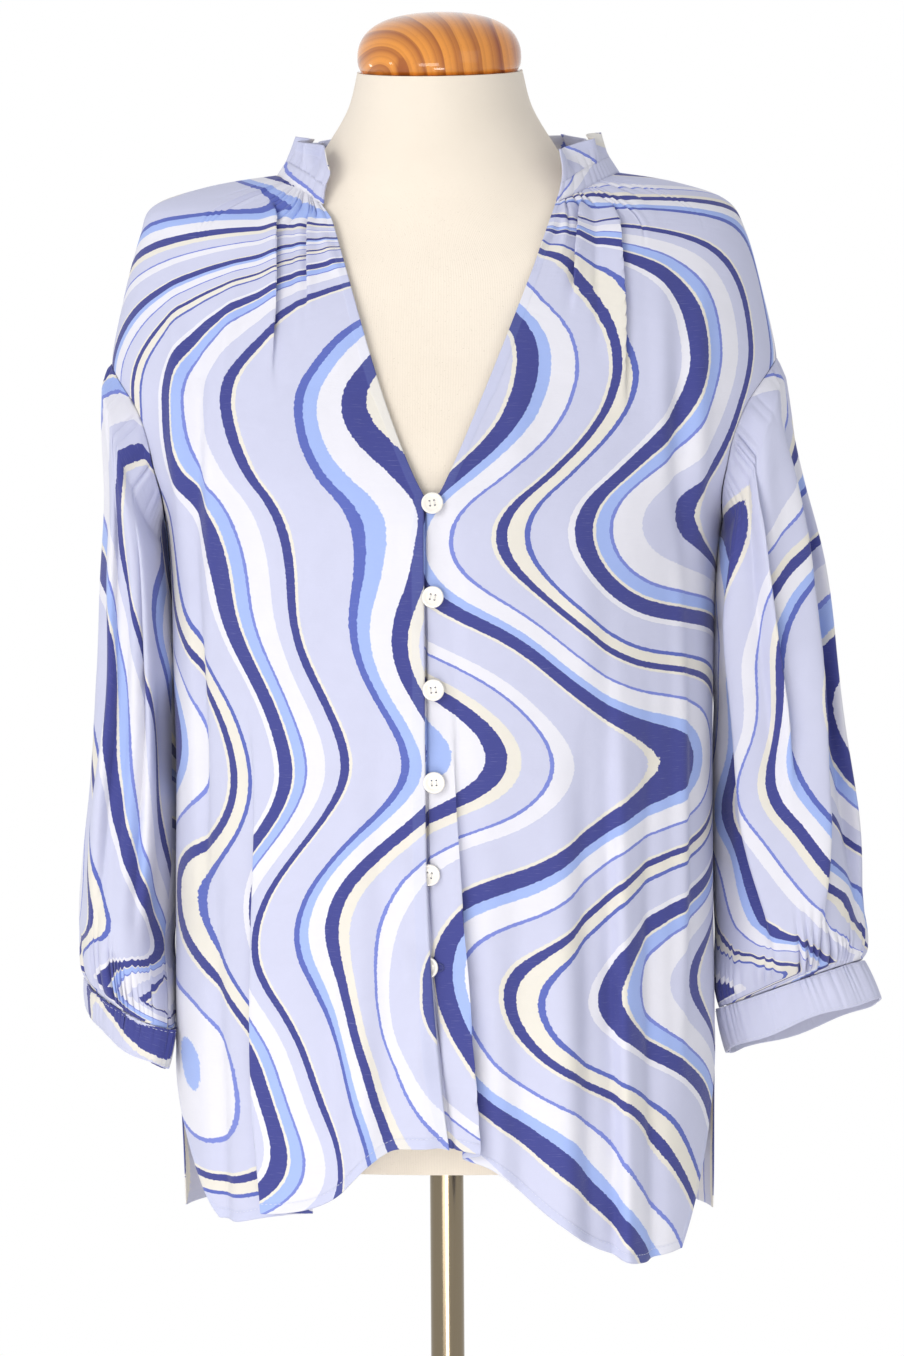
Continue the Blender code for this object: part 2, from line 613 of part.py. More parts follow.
# ---------------------------------------------------------------- closure
def centre_position(height):
    """The ring position whose centre front lies at a height."""
    low, high = 0.0, NECK_RING
    for _ in range(40):
        middle = (low + high) / 2
        if ring_point(BODY_RINGS, middle, math.pi / 2).z < height:
            low = middle
        else:
            high = middle
    return low


def centre_frame(x, height):
    """A matrix at a point of the fronts' surface: its Z axis points straight out of the cloth."""
    position = centre_position(height)
    point = ring_point(BODY_RINGS, position, angle_of_x(BODY_RINGS, position, x))
    above = ring_point(BODY_RINGS, position + 0.05, angle_of_x(BODY_RINGS, position + 0.05, x))
    up = (above - point).normalized()
    across = Vector((1, 0, 0))
    out = across.cross(up).normalized()
    frame = Matrix((across, up, out)).transposed().to_4x4()
    frame.translation = point
    return frame


def button(index, finish):
    """A shanked button that rests on the left front, clear of the right front's edge."""
    lift = CLOTH / 2 + 3 * GAP  # clear of the right front's outer face
    seat = -UNDERLAP_DROP + CLOTH / 2 + GAP
    profile = (
        (0.0, seat), (0.0013, seat), (0.0013, lift), (BUTTON_RADIUS - 0.0004, lift),
        (BUTTON_RADIUS, lift + 0.0007), (BUTTON_RADIUS - 0.0003, lift + 0.0018),
        (BUTTON_RADIUS - 0.0016, lift + 0.0021), (BUTTON_RADIUS - 0.0026, lift + 0.0014),
        (0.0, lift + 0.0014),
    )
    made = turned(f"button_{index + 1}", profile, 14, finish)
    height = BUTTON_TOP - BUTTON_PITCH * index
    made.data.transform(centre_frame(closing_x(height) + BUTTON_OFFSET, height))
    return made


def loop(index, finish):
    """A loop sewn to the right front's edge, round the button's shank."""
    height = BUTTON_TOP - BUTTON_PITCH * index
    frame = centre_frame(closing_x(height) + BUTTON_OFFSET, height)
    edge = 4 * GAP - BUTTON_OFFSET  # beside the right front's edge, from the button's middle
    bend = 0.0024
    arc = [math.radians(a) for a in (90, 45, 0, -45, -90)]
    route = [Vector((edge, bend, 0))]
    route += [Vector((bend * math.cos(a), bend * math.sin(a), 0)) for a in arc]
    route += [Vector((edge, -bend, 0))]
    cord = bpy.data.curves.new(f"loop_{index + 1}", "CURVE")
    cord.dimensions = "3D"
    cord.bevel_depth = 0.0005
    cord.bevel_resolution = 1
    cord.use_fill_caps = True
    spline = cord.splines.new("POLY")
    spline.points.add(len(route) - 1)
    for knot, point in zip(spline.points, route):
        knot.co = (*(frame @ point), 1.0)
    cord.materials.append(finish)
    made = bpy.data.objects.new(f"loop_{index + 1}", cord)
    bpy.context.scene.collection.objects.link(made)
    return made


# ---------------------------------------------------------------- dress form and stand
def dress_form(finish):
    """The padded torso: hips, waist, bust, shoulders and neck, with no arms."""
    columns = 28
    levels = [0, 1, 2, 3, 4, 5, 6, 7, 8, 9, 10, 11, 11.6, 12.2, 12.8, 13.4, 14, 14.6, 15.2, 16, 17, 18, 19]

    def point(level, column):
        place = ring_point(FORM_RINGS, level, math.tau * column / columns)
        place.z += place.y * math.tan(NECK_SLANT) * smooth_step((level - 15) / 4)
        return place

    return lofted("form_torso", levels, columns, point, finish)


def neck_cap(finish):
    """The turned wooden dome that closes the neck."""
    profile = (
        (0.0, 0.0), (0.0520, 0.0), (0.0539, 0.0030), (0.0545, 0.0095), (0.0532, 0.0175),
        (0.0478, 0.0262), (0.0365, 0.0334), (0.0200, 0.0375), (0.0, 0.0388),
    )
    made = turned("neck_cap", profile, 28, finish)
    forward = -0.0045  # the neck's middle
    seat = Vector((0, forward, NECK_TOP + forward * math.tan(NECK_SLANT) + GAP))
    made.data.transform(Matrix.Translation(seat) @ Matrix.Rotation(NECK_SLANT, 4, "X"))
    return made


def stand(finish):
    """The steel pole and the round base plate that it stands on."""
    boss = BASE_HEIGHT + 0.010
    base_profile = (
        (0.0, 0.0), (BASE_RADIUS - 0.001, 0.0), (BASE_RADIUS, 0.001),
        (BASE_RADIUS, BASE_HEIGHT - 0.002), (BASE_RADIUS - 0.002, BASE_HEIGHT),
        (0.024, BASE_HEIGHT), (0.020, BASE_HEIGHT + 0.002), (0.019, boss), (0.0, boss),
    )
    turned("base", base_profile, 36, finish)
    foot, top = boss + GAP, FORM_FOOT - GAP
    turned("pole", ((0.0, foot), (POLE_RADIUS, foot), (POLE_RADIUS, top), (0.0, top)), 20, finish)


def build():
    """Makes every piece."""
    clear_scene()
    print_cloth = material("print_cloth", LAVENDER, 0.75)
    loop_cord = material("loop_cord", NAVY, 0.75)
    shell = material("shell_button", SHELL_WHITE, 0.25)
    rows = len(PANEL_LEVELS) - 1
    sheet("front_left", PANEL_COLUMNS, rows, lambda c, r: front_point(c, r, 1), CLOTH, print_cloth)
    sheet("front_right", PANEL_COLUMNS, rows, lambda c, r: front_point(c, r, -1), CLOTH, print_cloth)
    sheet("back", BACK_COLUMNS, rows, back_point, CLOTH, print_cloth)
    sleeve("sleeve_left", LEFT_SLEEVE_RINGS, 1, LEFT_SLIT_COLUMN, print_cloth)
    sleeve("sleeve_right", RIGHT_SLEEVE_RINGS, -1, RIGHT_SLIT_COLUMN, print_cloth)
    cuff("cuff_left", LEFT_CUFF_RINGS, 1, LEFT_SLIT_COLUMN, print_cloth)
    cuff("cuff_right", RIGHT_CUFF_RINGS, -1, RIGHT_SLIT_COLUMN, print_cloth)
    collar_band(print_cloth)
    collar_frill(print_cloth)
    for index in range(BUTTON_COUNT):
        button(index, shell)
        loop(index, loop_cord)
    dress_form(material("form_cover", CALICO, 0.85))
    neck_cap(material("varnished_wood", VARNISHED_PINE, 0.18))
    stand(material("brushed_steel", STEEL, 0.30, metallic=1.0))


build()
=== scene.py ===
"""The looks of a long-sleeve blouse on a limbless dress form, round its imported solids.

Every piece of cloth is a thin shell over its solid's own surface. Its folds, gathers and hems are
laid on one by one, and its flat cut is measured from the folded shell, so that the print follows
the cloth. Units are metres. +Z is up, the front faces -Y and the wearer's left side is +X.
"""

from __future__ import annotations

import logging
import math
from dataclasses import dataclass
from enum import Enum
from typing import Callable, Sequence, Union

import bmesh
import bpy
import numpy as np
from mathutils import Matrix, Vector


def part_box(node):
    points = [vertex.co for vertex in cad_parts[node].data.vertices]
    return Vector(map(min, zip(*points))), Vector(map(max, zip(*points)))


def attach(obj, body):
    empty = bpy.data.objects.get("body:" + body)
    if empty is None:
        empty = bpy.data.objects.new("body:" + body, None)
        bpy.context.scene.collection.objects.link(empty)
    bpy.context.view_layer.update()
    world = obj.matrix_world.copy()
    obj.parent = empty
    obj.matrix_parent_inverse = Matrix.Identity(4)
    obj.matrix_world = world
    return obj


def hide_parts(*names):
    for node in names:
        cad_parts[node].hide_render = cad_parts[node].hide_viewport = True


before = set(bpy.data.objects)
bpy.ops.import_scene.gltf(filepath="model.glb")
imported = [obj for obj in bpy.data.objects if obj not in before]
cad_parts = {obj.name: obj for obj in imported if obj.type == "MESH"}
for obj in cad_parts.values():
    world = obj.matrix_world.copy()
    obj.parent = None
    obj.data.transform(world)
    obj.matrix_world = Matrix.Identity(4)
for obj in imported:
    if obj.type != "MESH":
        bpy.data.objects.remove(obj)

LOG = logging.getLogger("blouse")
Array = np.ndarray
TAU = math.tau
QUARTER = math.pi / 2

# ------------------------------------------------------------------ sizes shared with the solids
SOLID_CLOTH = 0.0012  # wall of the cloth's solids
GAP = 0.0003  # between pieces at their seams
SLIT_RING = 1.0
UNDERARM_RING = 4.0
SHOULDER_RING = 7.0
NECK_RING = 12.0
ARMHOLE_MIDDLE = (UNDERARM_RING + SHOULDER_RING) / 2
ARMHOLE_REACH = (SHOULDER_RING - UNDERARM_RING) / 2
ARMHOLE_ANGLE = math.radians(25)
UNDERLAP = 0.012
UNDERLAP_DROP = 0.0022
HEM_BASE = 0.600  # height of ring 0
HEM_SPAN = 0.160  # from ring 0 to the slits' tops
BUTTON_TOP = 1.1193
BUTTON_PITCH = 0.0590
BUTTON_COUNT = 6
BUTTON_RADIUS = 0.0070
BUTTON_OFFSET = 0.0055
V_FOOT = 1.1245
V_TOP = 1.3225
NECK_TOP = 1.4085
NECK_SLANT = math.radians(10)
BAND_SHARE = 0.40  # of the collar's height

# ------------------------------------------------------------------ sizes of the cloth that shows
CLOTH = 0.0007  # thickness
BAND_CLOTH = 0.0016  # thickness of the doubled cuffs and collar band
HEM_FOLD = 0.0065  # width of the hems' turned edge
HEM_SWELL = 0.00022  # how far that edge stands out
STITCH_PITCH = 0.0030
TUCKED = {5: 0.0040, 6: 0.0080}  # how far these buttons slip under the right front
TUCK_SINK = 0.0018  # and how far inwards they sit then
LAP_TIGHTNESS = 1.55  # how sharply a pleat's edge turns over


# ------------------------------------------------------------------ number helpers
def smooth(value: Union[float, Array]) -> Union[float, Array]:
    """0 below 0, 1 above 1 and an S between them."""
    value = np.clip(value, 0.0, 1.0)
    return value * value * (3.0 - 2.0 * value)


def signed_power(value: Array, power: Array) -> Array:
    """value to a power, keeping its sign."""
    return np.sign(value) * np.abs(value) ** power


def unit(vectors: Array) -> Array:
    """Rows of vectors at length 1."""
    return vectors / np.maximum(np.linalg.norm(vectors, axis=-1, keepdims=True), 1e-12)


def gathers(along: Array, count: float, seed: float) -> Array:
    """Round ridges between narrow valleys, uneven in width and height, from about -1 to 1.

    Args:
        along: Place along the seam, from 0 to 1.
        count: About how many gathers lie along it.
        seed: Number that makes each seam's gathers its own.

    Returns:
        The height of the gathers at each place.
    """
    warped = count * along + 0.9 * np.sin(TAU * (3.1 * along + seed))
    warped += 0.5 * np.sin(TAU * (8.3 * along + 1.7 * seed))
    ridge = 2.0 * np.abs(np.sin(math.pi * warped)) ** 0.7 - 1.2
    height = 0.68 + 0.32 * np.sin(TAU * (5.3 * along + 2.9 * seed)) * np.cos(TAU * (2.2 * along + seed))
    return ridge * height


def catmull_rom(p0: Array, p1: Array, p2: Array, p3: Array, share: Union[float, Array]) -> Array:
    """The smooth way from p1 to p2 at a share of it, drawn by the points before and after."""
    bend = (2 * p0 - 5 * p1 + 4 * p2 - p3) * share**2 + (3 * p1 - p0 - 3 * p2 + p3) * share**3
    return p1 + 0.5 * ((p2 - p0) * share + bend)


def fold_push(off: Array, fade: Array, depth: float, overlap: float) -> tuple[Array, Array]:
    """How far a fold moves the cloth on either side of its line.

    Args:
        off: Distance from the line, in the fold's half widths.
        fade: How much of the fold there is at each place, from 0 to 1.
        depth: How far it stands out, or in below zero.
        overlap: How far its edge lies over its neighbour, or 0 for a plain fold.

    Returns:
        Outward and sideways displacement.
    """
    if not overlap:
        return fade * depth * np.exp(-off * off), np.zeros_like(off)
    swing = off * np.exp(0.5 - 0.5 * (off * LAP_TIGHTNESS) ** 2) * LAP_TIGHTNESS
    side = math.copysign(1.0, overlap)
    return -side * fade * depth * swing, -fade * abs(overlap) * swing


def stitch_picks(points: Array, first: float) -> Array:
    """Numbers of the points one stitch apart along a line, from a first distance on."""
    length = np.concatenate(((0.0,), np.cumsum(np.linalg.norm(np.diff(points, axis=0), axis=1))))
    picks = np.interp(np.arange(first, length[-1], STITCH_PITCH), length, np.arange(len(points)))
    return np.rint(picks).astype(int)


def sway(u: Array, v: Array, seed: float) -> Array:
    """A slow, small unevenness of worn cloth, from about -1 to 1, at a place (u, v) in metres."""
    total = np.sin(31 * u + 9 * v + seed) * np.sin(14 * v - 8 * u + 2 * seed)
    total += 0.6 * np.sin(57 * u - 23 * v + 3 * seed) * np.sin(29 * v + 5 * seed)
    return total / 1.6


# ------------------------------------------------------------------ ring surfaces
@dataclass(frozen=True)
class RingTable:
    """Horizontal rings read as one smooth surface.

    A row holds height, half width, front depth, back depth, drop at the front, rise at the back,
    shift to the wearer's left and the exponent of the superellipse.
    """

    rows: tuple[tuple[float, ...], ...]

    def at(self, position: Array) -> Array:
        """Rows at fractional positions, by Catmull-Rom and straight past the ends.

        Args:
            position: Ring positions, of any shape.

        Returns:
            Array of that shape with a last axis for the row's values.
        """
        table = np.array(self.rows)
        last = len(table) - 1
        position = np.asarray(position, float)
        first = np.clip(np.floor(position).astype(int), 0, last - 1)
        share = (position - first)[..., None]
        p0, p1 = table[np.maximum(first - 1, 0)], table[first]
        p2, p3 = table[first + 1], table[np.minimum(first + 2, last)]
        curved = catmull_rom(p0, p1, p2, p3, share)
        return np.where((share < 0) | (share > 1), p1 + (p2 - p1) * share, curved)

    def point(self, position: Array, angle: Array) -> Array:
        """Points of the surface; angle 0 is the wearer's left and 90 degrees the centre front."""
        position, angle = np.broadcast_arrays(position, angle)
        height, wide, front, back, drop, rise, shift, power = np.moveaxis(self.at(position), -1, 0)
        across = signed_power(np.cos(angle), 2 / power)
        ahead = signed_power(np.sin(angle), 2 / power)
        depth = np.where(ahead > 0, front, back)
        lift = np.where(ahead > 0, -drop, rise) * np.sin(angle) ** 2
        return np.stack((wide * across + shift, -depth * ahead, height + lift), axis=-1)

    def normal(self, position: Array, angle: Array) -> Array:
        """Unit vectors that point straight out of the surface."""
        turn, step = 0.03, 0.04
        along = self.point(position, angle + turn) - self.point(position, angle - turn)
        up = self.point(position + step, angle) - self.point(position - step, angle)
        return unit(np.cross(up, along))

    def angle_of_x(self, position: Array, x: Array) -> Array:
        """The angle on a ring's front where it crosses x."""
        row = self.at(position)
        share = np.clip((x - row[..., 6]) / row[..., 1], -1.0, 1.0)
        return np.arccos(signed_power(share, row[..., 7] / 2))

    def length(self, start: tuple[Array, Array], stop: tuple[Array, Array], steps: int = 40) -> Array:
        """Length on the surface from (position, angle) to (position, angle), with the angle's sign.

        Args:
            start: Ring positions and angles where the way starts.
            stop: Ring positions and angles where it ends.
            steps: Straight steps that it is measured in.

        Returns:
            Lengths, below zero where the way runs down or to a smaller angle.
        """
        share = np.linspace(0.0, 1.0, steps + 1)
        ways = [a[..., None] + (b - a)[..., None] * share for a, b in zip(start, stop)]
        points = self.point(ways[0], ways[1])
        total = np.linalg.norm(np.diff(points, axis=-2), axis=-1).sum(axis=-1)
        forward = (stop[0] - start[0]) + (stop[1] - start[1])
        return total * np.sign(forward)


BODY = RingTable((
    (0.600, 0.1800, 0.1400, 0.1330, 0.000, 0.000, 0.0000, 2.25),
    (0.760, 0.1800, 0.1370, 0.1320, 0.000, 0.000, 0.0000, 2.25),
    (0.900, 0.1790, 0.1345, 0.1200, 0.000, 0.000, 0.0000, 2.20),
    (1.020, 0.1800, 0.1370, 0.1130, 0.002, 0.000, 0.0000, 2.15),
    (1.108, 0.1850, 0.1380, 0.1120, 0.006, 0.000, 0.0010, 2.10),
    (1.150, 0.2050, 0.1320, 0.1110, 0.013, 0.002, 0.0010, 2.05),
    (1.185, 0.2170, 0.1225, 0.1080, 0.021, 0.005, 0.0015, 2.00),
    (1.216, 0.2215, 0.1125, 0.1040, 0.027, 0.008, 0.0010, 2.00),
    (1.262, 0.2125, 0.0995, 0.0970, 0.034, 0.010, 0.0005, 2.00),
    (1.300, 0.2020, 0.0875, 0.0890, 0.040, 0.010, 0.0005, 2.00),
    (1.3205, 0.1910, 0.0800, 0.0810, 0.038, 0.010, -0.0010, 2.00),
    (1.3320, 0.1580, 0.0775, 0.0730, 0.038, 0.010, 0.0010, 2.00),
    (1.3395, 0.1135, 0.0780, 0.0640, 0.040, 0.009, 0.0050, 2.00),
))

FORM = RingTable((
    (0.686, 0.1660, 0.1020, 0.1120, 0.000, 0.000, 0.0, 2.2),
    (0.720, 0.1690, 0.1070, 0.1160, 0.000, 0.000, 0.0, 2.2),
    (0.760, 0.1670, 0.1100, 0.1150, 0.000, 0.000, 0.0, 2.2),
    (0.830, 0.1530, 0.1060, 0.1020, 0.000, 0.000, 0.0, 2.2),
    (0.900, 0.1370, 0.1010, 0.0850, 0.000, 0.000, 0.0, 2.1),
    (0.960, 0.1340, 0.1040, 0.0800, 0.000, 0.000, 0.0, 2.1),
    (1.020, 0.1460, 0.1170, 0.0860, 0.000, 0.000, 0.0, 2.1),
    (1.080, 0.1580, 0.1290, 0.0930, 0.000, 0.000, 0.0, 2.1),
    (1.130, 0.1660, 0.1300, 0.0970, 0.016, 0.000, 0.0, 2.1),
    (1.180, 0.1770, 0.1240, 0.0980, 0.032, 0.002, 0.0, 2.1),
    (1.230, 0.1880, 0.1105, 0.0940, 0.046, 0.006, 0.0, 2.1),
    (1.270, 0.1920, 0.0972, 0.0870, 0.052, 0.010, 0.0, 2.1),
    (1.299, 0.1880, 0.0866, 0.0800, 0.052, 0.010, 0.0, 2.1),
    (1.3165, 0.1775, 0.0790, 0.0730, 0.046, 0.010, 0.0, 2.1),
    (1.3280, 0.1470, 0.0720, 0.0660, 0.036, 0.010, 0.0, 2.0),
    (1.3360, 0.1060, 0.0680, 0.0600, 0.022, 0.010, 0.0, 2.0),
    (1.3480, 0.0850, 0.0670, 0.0570, 0.012, 0.006, 0.0, 2.0),
    (1.3630, 0.0735, 0.0650, 0.0550, 0.005, 0.002, 0.0, 2.0),
    (1.3850, 0.0610, 0.0620, 0.0520, 0.000, 0.000, 0.0, 2.0),
    (NECK_TOP, 0.0550, 0.0590, 0.0500, 0.000, 0.000, 0.0, 2.0),
))


# ------------------------------------------------------------------ shader wiring
Value = Union[float, Sequence[float], "Wire"]


class Wire:
    """A shader socket that Python's operators can combine with numbers and other sockets."""

    def __init__(self, graph: "Graph", socket: bpy.types.NodeSocket) -> None:
        """Keeps the socket and the graph that new nodes go to."""
        self.graph = graph
        self.socket = socket

    def __add__(self, other: Value) -> "Wire":
        """self + other."""
        return self.graph.maths("ADD", self, other)

    def __sub__(self, other: Value) -> "Wire":
        """self - other."""
        return self.graph.maths("SUBTRACT", self, other)

    def __rsub__(self, other: Value) -> "Wire":
        """other - self."""
        return self.graph.maths("SUBTRACT", other, self)

    def __mul__(self, other: Value) -> "Wire":
        """self * other."""
        return self.graph.maths("MULTIPLY", self, other)

    __radd__ = __add__
    __rmul__ = __mul__


class Graph:
    """The node tree of one material, with its Principled BSDF."""

    def __init__(self, material: bpy.types.Material) -> None:
        """Starts the material's tree with a shader and an output."""
        material.use_nodes = True
        self.tree = material.node_tree
        self.tree.nodes.clear()
        self.shader = self.tree.nodes.new("ShaderNodeBsdfPrincipled")
        output = self.tree.nodes.new("ShaderNodeOutputMaterial")
        self.tree.links.new(self.shader.outputs[0], output.inputs["Surface"])

    def put(self, socket: bpy.types.NodeSocket, value: Value) -> None:
        """Links a wire to a socket, or sets the socket to a number or numbers."""
        if isinstance(value, Wire):
            self.tree.links.new(value.socket, socket)
        elif isinstance(value, (int, float)):
            socket.default_value = value
        else:
            socket.default_value = (*value, 1.0) if len(socket.default_value) == 4 else tuple(value)

    def node(
        self, kind: str, settings: dict[str, object], sockets: dict[Union[str, int], Value],
        output: Union[str, int] = 0,
    ) -> Wire:
        """Adds a node.

        Args:
            kind: Blender's name of the node's type.
            settings: The node's own settings; "stops" holds a ramp's (place, colour) pairs.
            sockets: Values or wires for its inputs, by name or number.
            output: Name or number of the output that is wanted.

        Returns:
            That output.
        """
        node = self.tree.nodes.new(kind)
        for name, setting in settings.items():
            if name == "stops":
                self._set_stops(node.color_ramp, setting)
            elif name == "interpolation" and kind == "ShaderNodeValToRGB":
                node.color_ramp.interpolation = setting
            else:
                setattr(node, name, setting)
        for name, value in sockets.items():
            self.put(node.inputs[name], value)
        return Wire(self, node.outputs[output])

    @staticmethod
    def _set_stops(ramp: bpy.types.ColorRamp, stops: Sequence[tuple[float, Sequence[float]]]) -> None:
        """Gives a ramp its stops, in order."""
        while len(ramp.elements) < len(stops):
            ramp.elements.new(1.0)
        for element, (place, colour) in zip(ramp.elements, stops):
            element.position = place
            element.color = (*colour, 1.0)

    def maths(self, operation: str, a: Value, b: Value = 0.0, c: Value = 0.0) -> Wire:
        """A Math node on numbers or wires."""
        return self.node("ShaderNodeMath", {"operation": operation}, {0: a, 1: b, 2: c})

    def clamp01(self, value: Value) -> Wire:
        """value kept from 0 to 1."""
        return self.node("ShaderNodeClamp", {}, {"Value": value})

    def step(self, value: Value, start: float, stop: float) -> Wire:
        """A smooth rise from 0 at start to 1 at stop."""
        sockets = {"Value": value, "From Min": start, "From Max": stop}
        return self.node("ShaderNodeMapRange", {"interpolation_type": "SMOOTHSTEP"}, sockets)

    def blend(self, factor: Value, a: Value, b: Value, mode: str = "MIX") -> Wire:
        """Two colours mixed by factor."""
        settings = {"data_type": "RGBA", "blend_type": mode}
        return self.node("ShaderNodeMix", settings, {0: factor, 6: a, 7: b}, 2)

    def cut(self, name: str = "cut") -> Wire:
        """The piece's own flat coordinates, in metres."""
        return self.node("ShaderNodeUVMap", {"uv_map": name}, {})

    def place(self) -> Wire:
        """Object coordinates, in metres."""
        return self.node("ShaderNodeTexCoord", {}, {}, "Object")

    def parts(self, vector: Wire) -> tuple[Wire, Wire, Wire]:
        """A vector's three numbers."""
        split = self.node("ShaderNodeSeparateXYZ", {}, {0: vector})
        return tuple(Wire(self, socket) for socket in split.socket.node.outputs)

    def joined(self, x: Value, y: Value, z: Value = 0.0) -> Wire:
        """A vector from three numbers."""
        return self.node("ShaderNodeCombineXYZ", {}, {0: x, 1: y, 2: z})

    def scaled(self, vector: Wire, scale: Sequence[float], shift: Sequence[float] = (0, 0, 0)) -> Wire:
        """vector times scale plus shift."""
        sockets = {0: vector, 1: scale, 2: shift}
        return self.node("ShaderNodeVectorMath", {"operation": "MULTIPLY_ADD"}, sockets)

    def noise(
        self, vector: Wire, scale: float, detail: float = 2.0, rough: float = 0.5, twist: float = 0.0,
    ) -> Wire:
        """Noise from 0 to 1."""
        sockets = {"Vector": vector, "Scale": scale, "Detail": detail, "Roughness": rough}
        return self.node("ShaderNodeTexNoise", {}, {**sockets, "Distortion": twist})

    def length(self, vector: Wire) -> Wire:
        """How long a vector is."""
        return self.node("ShaderNodeVectorMath", {"operation": "LENGTH"}, {0: vector}, "Value")

    def bump(self, height: Value, distance: float, strength: float = 1.0, under: Value = None) -> Wire:
        """A Bump node over an optional other one."""
        sockets = {"Height": height, "Distance": distance, "Strength": strength}
        if under is not None:
            sockets["Normal"] = under
        return self.node("ShaderNodeBump", {}, sockets)

    def dress(self, **inputs: Value) -> None:
        """Sets the shader's inputs; an underscore in a name stands for a space."""
        for name, value in inputs.items():
            self.put(self.shader.inputs[name.replace("_", " ")], value)


def new_material(name: str) -> tuple[bpy.types.Material, Graph]:
    """An empty material of that name, with its graph."""
    material = bpy.data.materials.new(name)
    return material, Graph(material)


# ------------------------------------------------------------------ finishes
class Dye(Enum):
    """Linear colours of the print."""

    LAVENDER = (0.568, 0.583, 0.742)
    WHITE = (0.752, 0.748, 0.812)
    CREAM = (0.752, 0.719, 0.650)
    PERIWINKLE = (0.350, 0.456, 0.810)
    MIDLINE = (0.190, 0.236, 0.620)
    ROYAL = (0.105, 0.140, 0.460)
    NAVY = (0.056, 0.064, 0.258)


# Bands of the print, in order across it, with their widths in millimetres of still cloth.
BANDS: tuple[tuple[Dye, float], ...] = (
    (Dye.LAVENDER, 36), (Dye.CREAM, 3.0), (Dye.NAVY, 15), (Dye.PERIWINKLE, 10), (Dye.WHITE, 18),
    (Dye.MIDLINE, 2.8), (Dye.LAVENDER, 24), (Dye.CREAM, 2.6), (Dye.NAVY, 9), (Dye.CREAM, 12),
    (Dye.ROYAL, 3.4), (Dye.LAVENDER, 33), (Dye.WHITE, 5), (Dye.NAVY, 18), (Dye.CREAM, 3),
    (Dye.PERIWINKLE, 12), (Dye.MIDLINE, 2.6), (Dye.WHITE, 22), (Dye.LAVENDER, 16), (Dye.NAVY, 9),
    (Dye.CREAM, 3), (Dye.LAVENDER, 42), (Dye.ROYAL, 6), (Dye.PERIWINKLE, 9), (Dye.WHITE, 15),
    (Dye.NAVY, 13), (Dye.CREAM, 9), (Dye.LAVENDER, 20), (Dye.MIDLINE, 2.8), (Dye.WHITE, 14),
)


@dataclass(frozen=True)
class PrintCloth:
    """Light plain-weave cotton with a generic print of marbled bands.

    shift moves the print on the piece, so that each piece is cut from another part of the cloth.
    """

    name: str
    shift: tuple[float, float]
    turn: float = 0.0
    thread: float = 0.00042  # pitch of the weave

    def colour(self, graph: Graph, cut: Wire) -> Wire:
        """The print's colour on the flat cloth.

        Args:
            graph: The material's graph.
            cut: Flat coordinates in metres.

        Returns:
            The colour.
        """
        total = sum(width for _, width in BANDS)
        sockets = {"Vector": cut, "Angle": self.turn}
        turned = graph.node("ShaderNodeVectorRotate", {"rotation_type": "Z_AXIS"}, sockets)
        placed = graph.scaled(turned, (1, 1, 1), (*self.shift, 0))
        # Long sweeps that change more along the bands than across them, and shorter bends on top.
        sweep = graph.noise(graph.scaled(placed, (0.40, 1, 1), (3.7, 9.2, 0)), 3.1, 1.0, 0.45)
        bend = graph.noise(graph.scaled(placed, (1, 1, 1), (13.7, 1.2, 0)), 4.2, 1.0, 0.4)
        ripple = graph.noise(graph.scaled(placed, (1, 0.8, 1), (5.1, 22.4, 0)), 8.0, 0.0)
        rough = graph.noise(placed, 420.0, 2.0, 0.6)
        across, _, _ = graph.parts(placed)
        across = across + (sweep - 0.5) * 0.66 + (bend - 0.5) * 0.20
        across = across + (ripple - 0.5) * 0.04 + (rough - 0.5) * 0.0022
        stops, place = [], 0.0
        for dye, width in BANDS:
            stops.append((place, dye.value))
            place += width / total
        settings = {"stops": stops, "interpolation": "CONSTANT"}
        repeat = graph.maths("FRACT", across * (1000.0 / total))
        return graph.node("ShaderNodeValToRGB", settings, {0: repeat})

    def make(self) -> bpy.types.Material:
        """Builds the material."""
        material, graph = new_material(self.name)
        cut = graph.cut()
        u, v, _ = graph.parts(cut)
        colour = self.colour(graph, cut)
        # Threads: a fine over-and-under weave, with slubs along the weft that take less ink.
        warp = graph.maths("SINE", u * (TAU / self.thread))
        weft = graph.maths("SINE", v * (TAU / self.thread))
        weave = warp * weft
        slub = graph.noise(graph.scaled(cut, (90, 1500, 1)), 1.0, 3.0, 0.6)
        pale = graph.step(slub, 0.56, 0.80)
        colour = graph.blend(pale * 0.16, colour, Dye.LAVENDER.value)
        mottle = graph.noise(cut, 60.0, 4.0, 0.6)
        # Painted shade: the weave is drawn darker in its hollows, where its bump is low; the mottle is the
        # cloth's own uneven tone.
        tone_and_thread_shade = 0.955 + mottle * 0.07 + weave * 0.02
        colour = graph.blend(1.0, colour, graph.joined(tone_and_thread_shade, tone_and_thread_shade, tone_and_thread_shade), "MULTIPLY")
        # The turned hem is two layers thick, so it is a touch deeper in colour.
        rim, _, _ = graph.parts(graph.cut("rim"))
        turned = 1.0 - graph.step(rim, HEM_FOLD - 0.0006, HEM_FOLD + 0.0006)
        colour = graph.blend(turned * 0.07, colour, Dye.PERIWINKLE.value)
        crumple = graph.noise(cut, 34.0, 3.0, 0.55, 0.6)
        height = weave * 0.00003 + slub * 0.00012
        fine = graph.bump(height, 1.0, 0.7)
        normal = graph.bump(crumple * 0.0011 + turned * 0.0002, 1.0, 0.55, fine)
        graph.dress(
            Base_Color=colour, Roughness=0.80 + mottle * 0.10, Normal=normal, Sheen_Weight=0.18,
            Sheen_Roughness=0.45, Specular_IOR_Level=0.25,
        )
        return material


